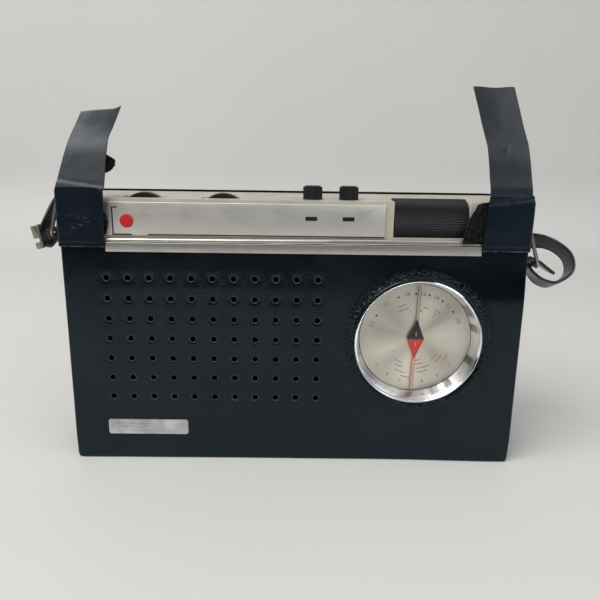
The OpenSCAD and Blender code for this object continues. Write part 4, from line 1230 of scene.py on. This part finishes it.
def press_spring(name):
    """Coil spring under a push button, with flat end turns."""
    low, high = box_mm(f"{name}_spring")
    centre_x, centre_y, _ = (low + high) / 2
    wire = 0.25
    coil_r = (high[0] - low[0]) / 2 - wire
    height = high[2] - low[2] - 2 * wire
    turns, steps, ring = 5, 18, 8
    points = []
    for k in range(turns * steps + 1):
        share = min(1, max(0, (k / (turns * steps) - 0.1) / 0.8))
        rise = height * (ease(share) + share) / 2
        turn = 2 * math.pi * k / steps
        for side in range(ring):
            round_wire = 2 * math.pi * side / ring
            r = coil_r + wire * math.cos(round_wire)
            points.append((centre_x + r * math.cos(turn), centre_y + r * math.sin(turn),
                           low[2] + wire + rise + wire * math.sin(round_wire)))
    spring = piece(f"{name}_coil", points, tube_faces(turns * steps + 1, ring), "spring_steel", CASE, 60,
                   nodes=(f"{name}_spring",))
    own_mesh(spring)


def speaker_paper():
    """Paper cone with a rolled edge, fine ribs and a dust cap."""
    low, high = box_mm("speaker_cone")
    outer = (high[0] - low[0]) / 2 - 0.1
    front, depth = low[1], high[1] - low[1]
    paper = 0.45
    neck_r, roll_r = 8.0, outer - 2.6

    def cone_depth(share):
        return 0.9 + (depth - paper - 1.1) * (1 - share) ** 0.9 + 0.1 * math.sin(share * 40)

    inside = [(0.01, front + depth - 5.4), (4.0, front + depth - 4.6), (neck_r - 0.6, front + depth - 1.2)]
    for share in spread(0, 1, 0.06):
        inside.append((neck_r + (roll_r - neck_r) * share, front + cone_depth(share)))
    edge = [(outer - 1.8, front + 0.35), (outer - 1.1, front + 0.1), (outer - 0.4, front + 0.3),
            (outer, front + 0.9), (outer, front + 0.9 + paper)]
    back = [(r, y + paper) for r, y in inside[::-1]]
    lathe("speaker_cone_paper", inside + edge + back, (low + high) / 2, "paper_cone", 72, ("speaker_cone",))


# ---------- marks and the front of the radio ----------


def flat_mark(name, outlines, y, thickness, look, body=CASE):
    """Thin printed or raised marks: outlines of (x, z) points, standing this thick in front of y."""
    points, faces = [], []
    for outline in outlines:
        count = len(outline)
        faces += shifted(tube_faces(2, count), len(points))
        points += [(x, depth, z) for depth in (y - thickness, y) for x, z in outline]
    piece(name, points, faces, look, body)


def bar(x0, z0, x1, z1, width):
    """A straight stroke's outline."""
    a, b = Vector((x0, z0)), Vector((x1, z1))
    side = (b - a).normalized().orthogonal() * width / 2
    return [a + side, a - side, b - side, b + side]


def disc(x, z, r, count):
    return [(place.x, place.z) for place in bend((x, 0, z), 0, 360, r, (1, 0, 0), (0, 0, 1), count)[:-1]]


def panel_marks():
    low, high = box_mm("control_panel")
    y = low[1]
    # what shows of the panel starts here, past the corner band
    shown_left = -69.5
    line = 0.5
    corner_x, corner_z = shown_left + 2.3, high[2] - 1.9
    foot_z = low[2] + 0.35
    strokes = [
        bar(corner_x - line / 2, corner_z, corner_x + 1.9, corner_z, line),
        bar(corner_x, corner_z, corner_x, foot_z, line),
        bar(corner_x - line / 2, foot_z, corner_x + 6.9, foot_z, line),
        bar(corner_x + 12.7, foot_z, high[0] - 0.2, foot_z, line * 0.9),
    ]
    flat_mark("panel_lines", strokes, y, 0.05, "ink_black")
    mark_x, mark_z = shown_left + 7.5, (corner_z + foot_z) / 2
    domed = ((2.5, 0.0), (2.5, 0.12), (2.3, 0.22), (1.4, 0.32), (0.4, 0.36))
    points = [(x, y - rise, z) for r, rise in domed for x, z in disc(mark_x, mark_z, r, 40)]
    piece("panel_red_dot", points, tube_faces(len(domed), 40), "ink_red", CASE)
    window_low, window_high = 95.9, 97.3
    windows = []
    for name in ("long_wave", "medium_wave"):
        x = middle(f"{name}_button")[0]
        windows.append([(x - 2.7, window_low), (x + 1.6, window_low), (x + 1.6, window_high),
                        (x - 2.7, window_high)])
    flat_mark("wave_windows", windows, y + 0.6, 0.3, "control_black")


def ledge():
    """The bright ledge under the panel. Its top edge runs out of true, lower at the left."""
    low, high = box_mm("cabinet_ledge")
    front = low[1]
    profile = [(high[1], 0), (front + 0.15, 0), (front, 0.15), (front, 0.6), (front + 0.2, 0.85),
               (front + 0.6, 1.0), (high[1], 1.0)]
    xs = spread(low[0], high[0], 4)
    points = []
    for x in xs:
        share = (x - low[0]) / (high[0] - low[0])
        top = high[2] - 0.85 * (1 - ease(share * 0.9))
        points += [(x, y, low[2] + (top - low[2]) * up) for y, up in profile]
    piece("cabinet_ledge_strip", points, tube_faces(len(xs), len(profile)), "trim_metal", CASE, 25,
          nodes=("cabinet_ledge",))


# ---------- dial ----------


def dial_parts():
    """Bezel and lens, finely turned."""
    front, lip = bezel_low[1], bezel_high[1]
    outer, flange = WINDOW_R - 0.25, (bezel_high[0] - bezel_low[0]) / 2
    inner, throat = PLATE_R + 0.2, PLATE_Y - 0.2
    profile = [(inner, throat), (inner + 0.35, throat - 1.4), (inner + 1.35, front + 1.0),
               (inner + 1.6, front + 0.4), (inner + 1.95, front + 0.08), (outer - 0.45, front),
               (outer - 0.12, front + 0.12), (outer, front + 0.45), (outer, lip - 1.0), (flange, lip - 0.9),
               (flange, lip), (outer - 1.6, lip), (outer - 1.6, throat + 0.6)]
    lathe("dial_bezel_ring", profile, DIAL, "bezel_chrome", 160, ("dial_bezel",))
    lens_low, lens_high = box_mm("dial_lens")
    lens_r = (lens_high[0] - lens_low[0]) / 2
    dome = [(lens_r * s, lens_low[1] + 0.35 * s * s) for s in np.linspace(0.01, 0.99, 12)]
    back = [(lens_r, lens_high[1]), (0.01, lens_high[1])]
    lathe("dial_lens_dome", dome + back, DIAL, "lens_clear", 96, ("dial_lens",))


def around(angle, r):
    """A place on the dial: angle in degrees clockwise from the top."""
    turn = math.radians(angle)
    return DIAL[0] + r * math.sin(turn), DIAL[2] + r * math.cos(turn)


def arc(r, start, end, width, steps=None):
    count = steps or max(2, int(abs(end - start) / 3))
    angles = [start + (end - start) * k / count for k in range(count + 1)]
    return [around(a, r + width / 2) for a in angles] + [around(a, r - width / 2) for a in reversed(angles)]


def numeral(text, angle, r, size):
    """A generic dial number, its top towards the rim."""
    name = f"dial_number_{text}"
    curve = bpy.data.curves.new(name, "FONT")
    curve.body = text
    curve.size = size * MM
    curve.extrude = 0.015 * MM
    curve.align_x, curve.align_y = "CENTER", "CENTER"
    drawn = bpy.data.objects.new(name, curve)
    bpy.context.scene.collection.objects.link(drawn)
    x, z = around(angle, r)
    drawn.rotation_euler = (math.pi / 2, math.radians(angle), 0)
    drawn.location = (x * MM, (PLATE_Y - 0.02) * MM, z * MM)
    mesh = final_mesh(drawn)
    mesh.transform(drawn.matrix_world)
    mesh.materials.clear()
    mesh.materials.append(LOOKS["ink_grey"])
    bpy.data.objects.remove(drawn)
    number = bpy.data.objects.new(name, mesh)
    bpy.context.scene.collection.objects.link(number)
    return number


def dial_numbers():
    upper = (("22", -72), ("20", -42), ("18", -13), ("16", 7), ("14", 24), ("12", 43), ("10", 66))
    lower = (("5", 232), ("6", 214), ("7", 196), ("8", 168), ("9", 148), ("11", 128))
    made = [numeral(text, angle, PLATE_R - 3.9, 2.3) for text, angle in upper]
    made += [numeral(text, angle, PLATE_R - 3.6, 1.9) for text, angle in lower]
    bpy.ops.object.select_all(action="DESELECT")
    for number in made:
        number.select_set(True)
    bpy.context.view_layer.objects.active = made[0]
    bpy.ops.object.join()
    numbers = bpy.context.view_layer.objects.active
    numbers.name = "dial_numbers"
    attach(numbers, CASE)


# plain dashes and strokes where a scale has its print: (radius, first angle, last angle)
UPPER_DASHES = ((12.6, -34, -12), (14.2, -30, -16), (12.8, 12, 24), (11.2, -14, -8), (11.2, 6, 16),
                (13.6, 32, 46), (12.2, 34, 44), (10.8, 36, 41))
LOWER_DASHES = ((11.4, 205, 222), (13.0, 200, 216), (15.0, 192, 212), (9.8, 232, 240))
ORANGE_STROKES = ((9.4, 164, 176), (11.0, 160, 177), (12.8, 150, 176), (14.4, 158, 174), (11.2, 126, 142),
                  (13.0, 122, 140), (14.9, 116, 128), (16.6, 184, 197))


def dial_print():
    dots = [disc(*around(angle, PLATE_R - 3.9), 0.42, 16) for angle in (-60, -24, -2, 15, 33, 53)]
    pitch = 3.4
    dashes = [
        arc(r, start + pitch * k, start + pitch * k + reach, width, 2)
        for group, reach, width in ((UPPER_DASHES, 2.2, 0.5), (LOWER_DASHES, 2.0, 0.45))
        for r, start, end in group
        for k in range(int((end - start) / pitch))
    ]
    strokes = [arc(r, start, end, 0.32) for r, start, end in ORANGE_STROKES]
    flat_mark("dial_dots", dots, PLATE_Y, 0.03, "ink_black")
    flat_mark("dial_print_grey", dashes, PLATE_Y, 0.02, "ink_grey")
    flat_mark("dial_print_orange", strokes, PLATE_Y, 0.02, "ink_orange")


def pointer_half(node, look, up):
    """Half of the diamond: a bevelled painted plate with a small pale tick. up is -1 for the lower half."""
    low, high = box_mm(node)
    base_z, tip_z = (low[2], high[2]) if up > 0 else (high[2], low[2])
    half, centre_x = (high[0] - low[0]) / 2, (low[0] + high[0]) / 2
    front = box_mm("gang_rotor")[0][1] - 0.25
    tip_x = centre_x + 0.0262 * (tip_z - base_z)
    points = []
    for inset, y in ((0, low[1]), (0, front + 0.12), (0.2, front)):
        foot_z, point_z = base_z + up * 0.5 * inset, tip_z - up * 1.6 * inset
        points += [(centre_x - half + 1.3 * inset, y, foot_z), (centre_x + half - 1.3 * inset, y, foot_z),
                   (tip_x + 0.12, y, point_z), (tip_x - 0.12, y, point_z)]
    piece(node + "_plate", points, tube_faces(3, 4), look, "pointer_body", 30, nodes=(node,))
    tick = bar(centre_x, base_z + up * 1.2, centre_x + 0.03 * up, base_z + up * 2.9, 0.3)
    flat_mark(node + "_tick", [tick], front, 0.03, "ink_pale", "pointer_body")


def pointer_lines():
    """Hairlines on the clear bar, dark above the diamond and red below it."""
    low, high = box_mm("pointer_bar")
    lean = math.radians(1.5)
    reach = (high[2] - low[2]) / 2 - 0.3
    y = low[1] - 0.02

    def stroke(x, z0, z1, width):
        corners = ((x - width / 2, z0), (x + width / 2, z0), (x + width / 2, z1), (x - width / 2, z1))
        return [(DIAL[0] + a * math.cos(lean) + b * math.sin(lean),
                 DIAL[2] - a * math.sin(lean) + b * math.cos(lean)) for a, b in corners]

    upper = [stroke(x, 7.3, reach, width) for x, width in ((-0.55, 0.2), (0.55, 0.1))]
    lower = [stroke(x, -reach, -7.5, 0.16) for x in (-0.5, 0.5)]
    fill = [stroke(0, -reach, -7.5, 0.8)]
    for name, strokes, place, thickness, look, slot in (
        ("upper", upper, y, 0.05, "ink_black", "pointer_black_paint"),
        ("lower", lower, y, 0.05, "ink_salmon", "pointer_red_paint"),
        ("fill", fill, y + 0.03, 0.02, "ink_pink", "pointer_red_paint"),
    ):
        flat_mark(f"hairlines_{name}", strokes, place, thickness, look, "pointer_body")


# ---------- stage ----------


def studio_floor():
    """A pale floor that bends up into a pale wall behind the radio."""
    wall_y, reach, height, bend_r = 536.0, 9000.0, 6000.0, 90.0
    profile = [Vector((0, y, 0)) for y in [-reach] + spread(-800, wall_y - bend_r, 60)]
    profile += bend((0, wall_y - bend_r, bend_r), 0, 90, bend_r, (0, 0, -1), (0, 1, 0), 8)[1:]
    profile.append(Vector((0, wall_y, height)))
    look = Look("studio_floor", (0.66, 0.65, 0.62), 0.6)
    pale = look.mix(look.noise(220, 3), (0.64, 0.63, 0.605), (0.70, 0.69, 0.665))
    # shiny things mirror the floor only near the radio, and the unlit room beyond it
    mirrored = look.add("ShaderNodeLightPath").outputs["Is Glossy Ray"]
    far = look.ramp(look.axis("Y"), -0.30, -0.34)
    look.feed(Base_Color=look.mix(look.times(mirrored, far), pale, (0.02, 0.021, 0.025)))
    points = [(x, place.y, place.z) for place in profile for x in (-reach, reach)]
    piece("studio_floor", points, grid_faces(len(profile), 2), "studio_floor", facing=(0, -0.1, 1))


def studio_sky():
    """Soft light from above and behind, dark low down in front, and an even wall to the camera."""
    world = bpy.data.worlds.new("studio")
    bpy.context.scene.world = world
    world.use_nodes = True
    sky = Nodes(world.node_tree)
    place = sky.add("ShaderNodeTexCoord").outputs["Generated"]
    _, y, z = sky.add("ShaderNodeSeparateXYZ", place).outputs
    height = sky.add("ShaderNodeMath", y, 0.45, z, operation="MULTIPLY_ADD").outputs[0]
    glow = sky.mix(sky.ramp(height, 0.0, 0.45), (0.035, 0.037, 0.042), (0.93, 0.96, 1.0))
    seen = sky.add("ShaderNodeLightPath").outputs["Is Camera Ray"]
    backdrop = world.node_tree.nodes["Background"]
    sky.put(backdrop.inputs["Color"], sky.mix(seen, glow, (0.72, 0.715, 0.70)))
    sky.put(backdrop.inputs["Strength"], 0.75)


def soft_light(name, place, target, size, watts, colour):
    data = bpy.data.lights.new(name, "AREA")
    data.shape = "RECTANGLE"
    data.size, data.size_y = size[0] * MM, size[1] * MM
    data.energy = watts
    data.color = colour
    obj = bpy.data.objects.new(name, data)
    bpy.context.scene.collection.objects.link(obj)
    obj.location = Vector(place) * MM
    aim = Vector(target) * MM - obj.location
    obj.rotation_euler = aim.to_track_quat("-Z", "Y").to_euler()


def camera():
    """A camera level with the radio's top, close in front and looking a little down."""
    pitch, roll, yaw = 0.2512, 0.0144, -0.0098
    from_front, height, sideways = 219.4, 122.45, -0.18
    tilt = Matrix.Rotation(math.pi / 2 + pitch, 3, "X")
    right, down, ahead = Matrix.Rotation(roll, 3, "Z") @ tilt @ Matrix.Rotation(-yaw, 3, "Z")
    data = bpy.data.cameras.new("camera")
    data.sensor_width = 36.0
    data.lens = 36.0
    data.clip_start = 0.01
    obj = bpy.data.objects.new("camera", data)
    bpy.context.scene.collection.objects.link(obj)
    turned = Matrix((right, -down, -ahead)).transposed()
    place = Vector((sideways, FRONT_Y - from_front, height)) * MM
    obj.matrix_world = Matrix.Translation(place) @ turned.to_4x4()
    bpy.context.scene.camera = obj
    bpy.context.scene.view_settings.view_transform = "Standard"


dress_cad_nodes()
case_front()
hole_rims()
case_sides()
case_back()
for side, name in ((-1, "left"), (1, "right")):
    front_strap(side, name)
    rear_tab(name)
    ring_tab(side, name)
inner_plies()
carry_strap()
grille_weave()
drive_cord()
speaker_paper()
press_spring("long_wave")
press_spring("medium_wave")
ledge()
for node, width, segments in (
    ("case_front_trim", 0.15, 3),
    ("control_panel", 0.15, 3),
    ("badge_plate", 0.15, 3),
    ("strap_clip", 0.3, 3),
    ("cabinet_front", 0.9, 4),
    ("cabinet_back", 0.9, 4),
):
    soften(node, width, segments)
panel_marks()
dial_parts()
dial_numbers()
dial_print()
pointer_half("pointer_black", "pointer_black_paint", 1)
pointer_half("pointer_red", "pointer_red_paint", -1)
pointer_lines()
studio_floor()
studio_sky()
soft_light("window", (-500, -500, 1050), (0, 0, 40), (900, 900), 11, (1.0, 0.99, 0.97))
soft_light("fill", (900, -900, 700), (0, 0, 60), (900, 700), 4, (0.93, 0.96, 1.0))
camera()
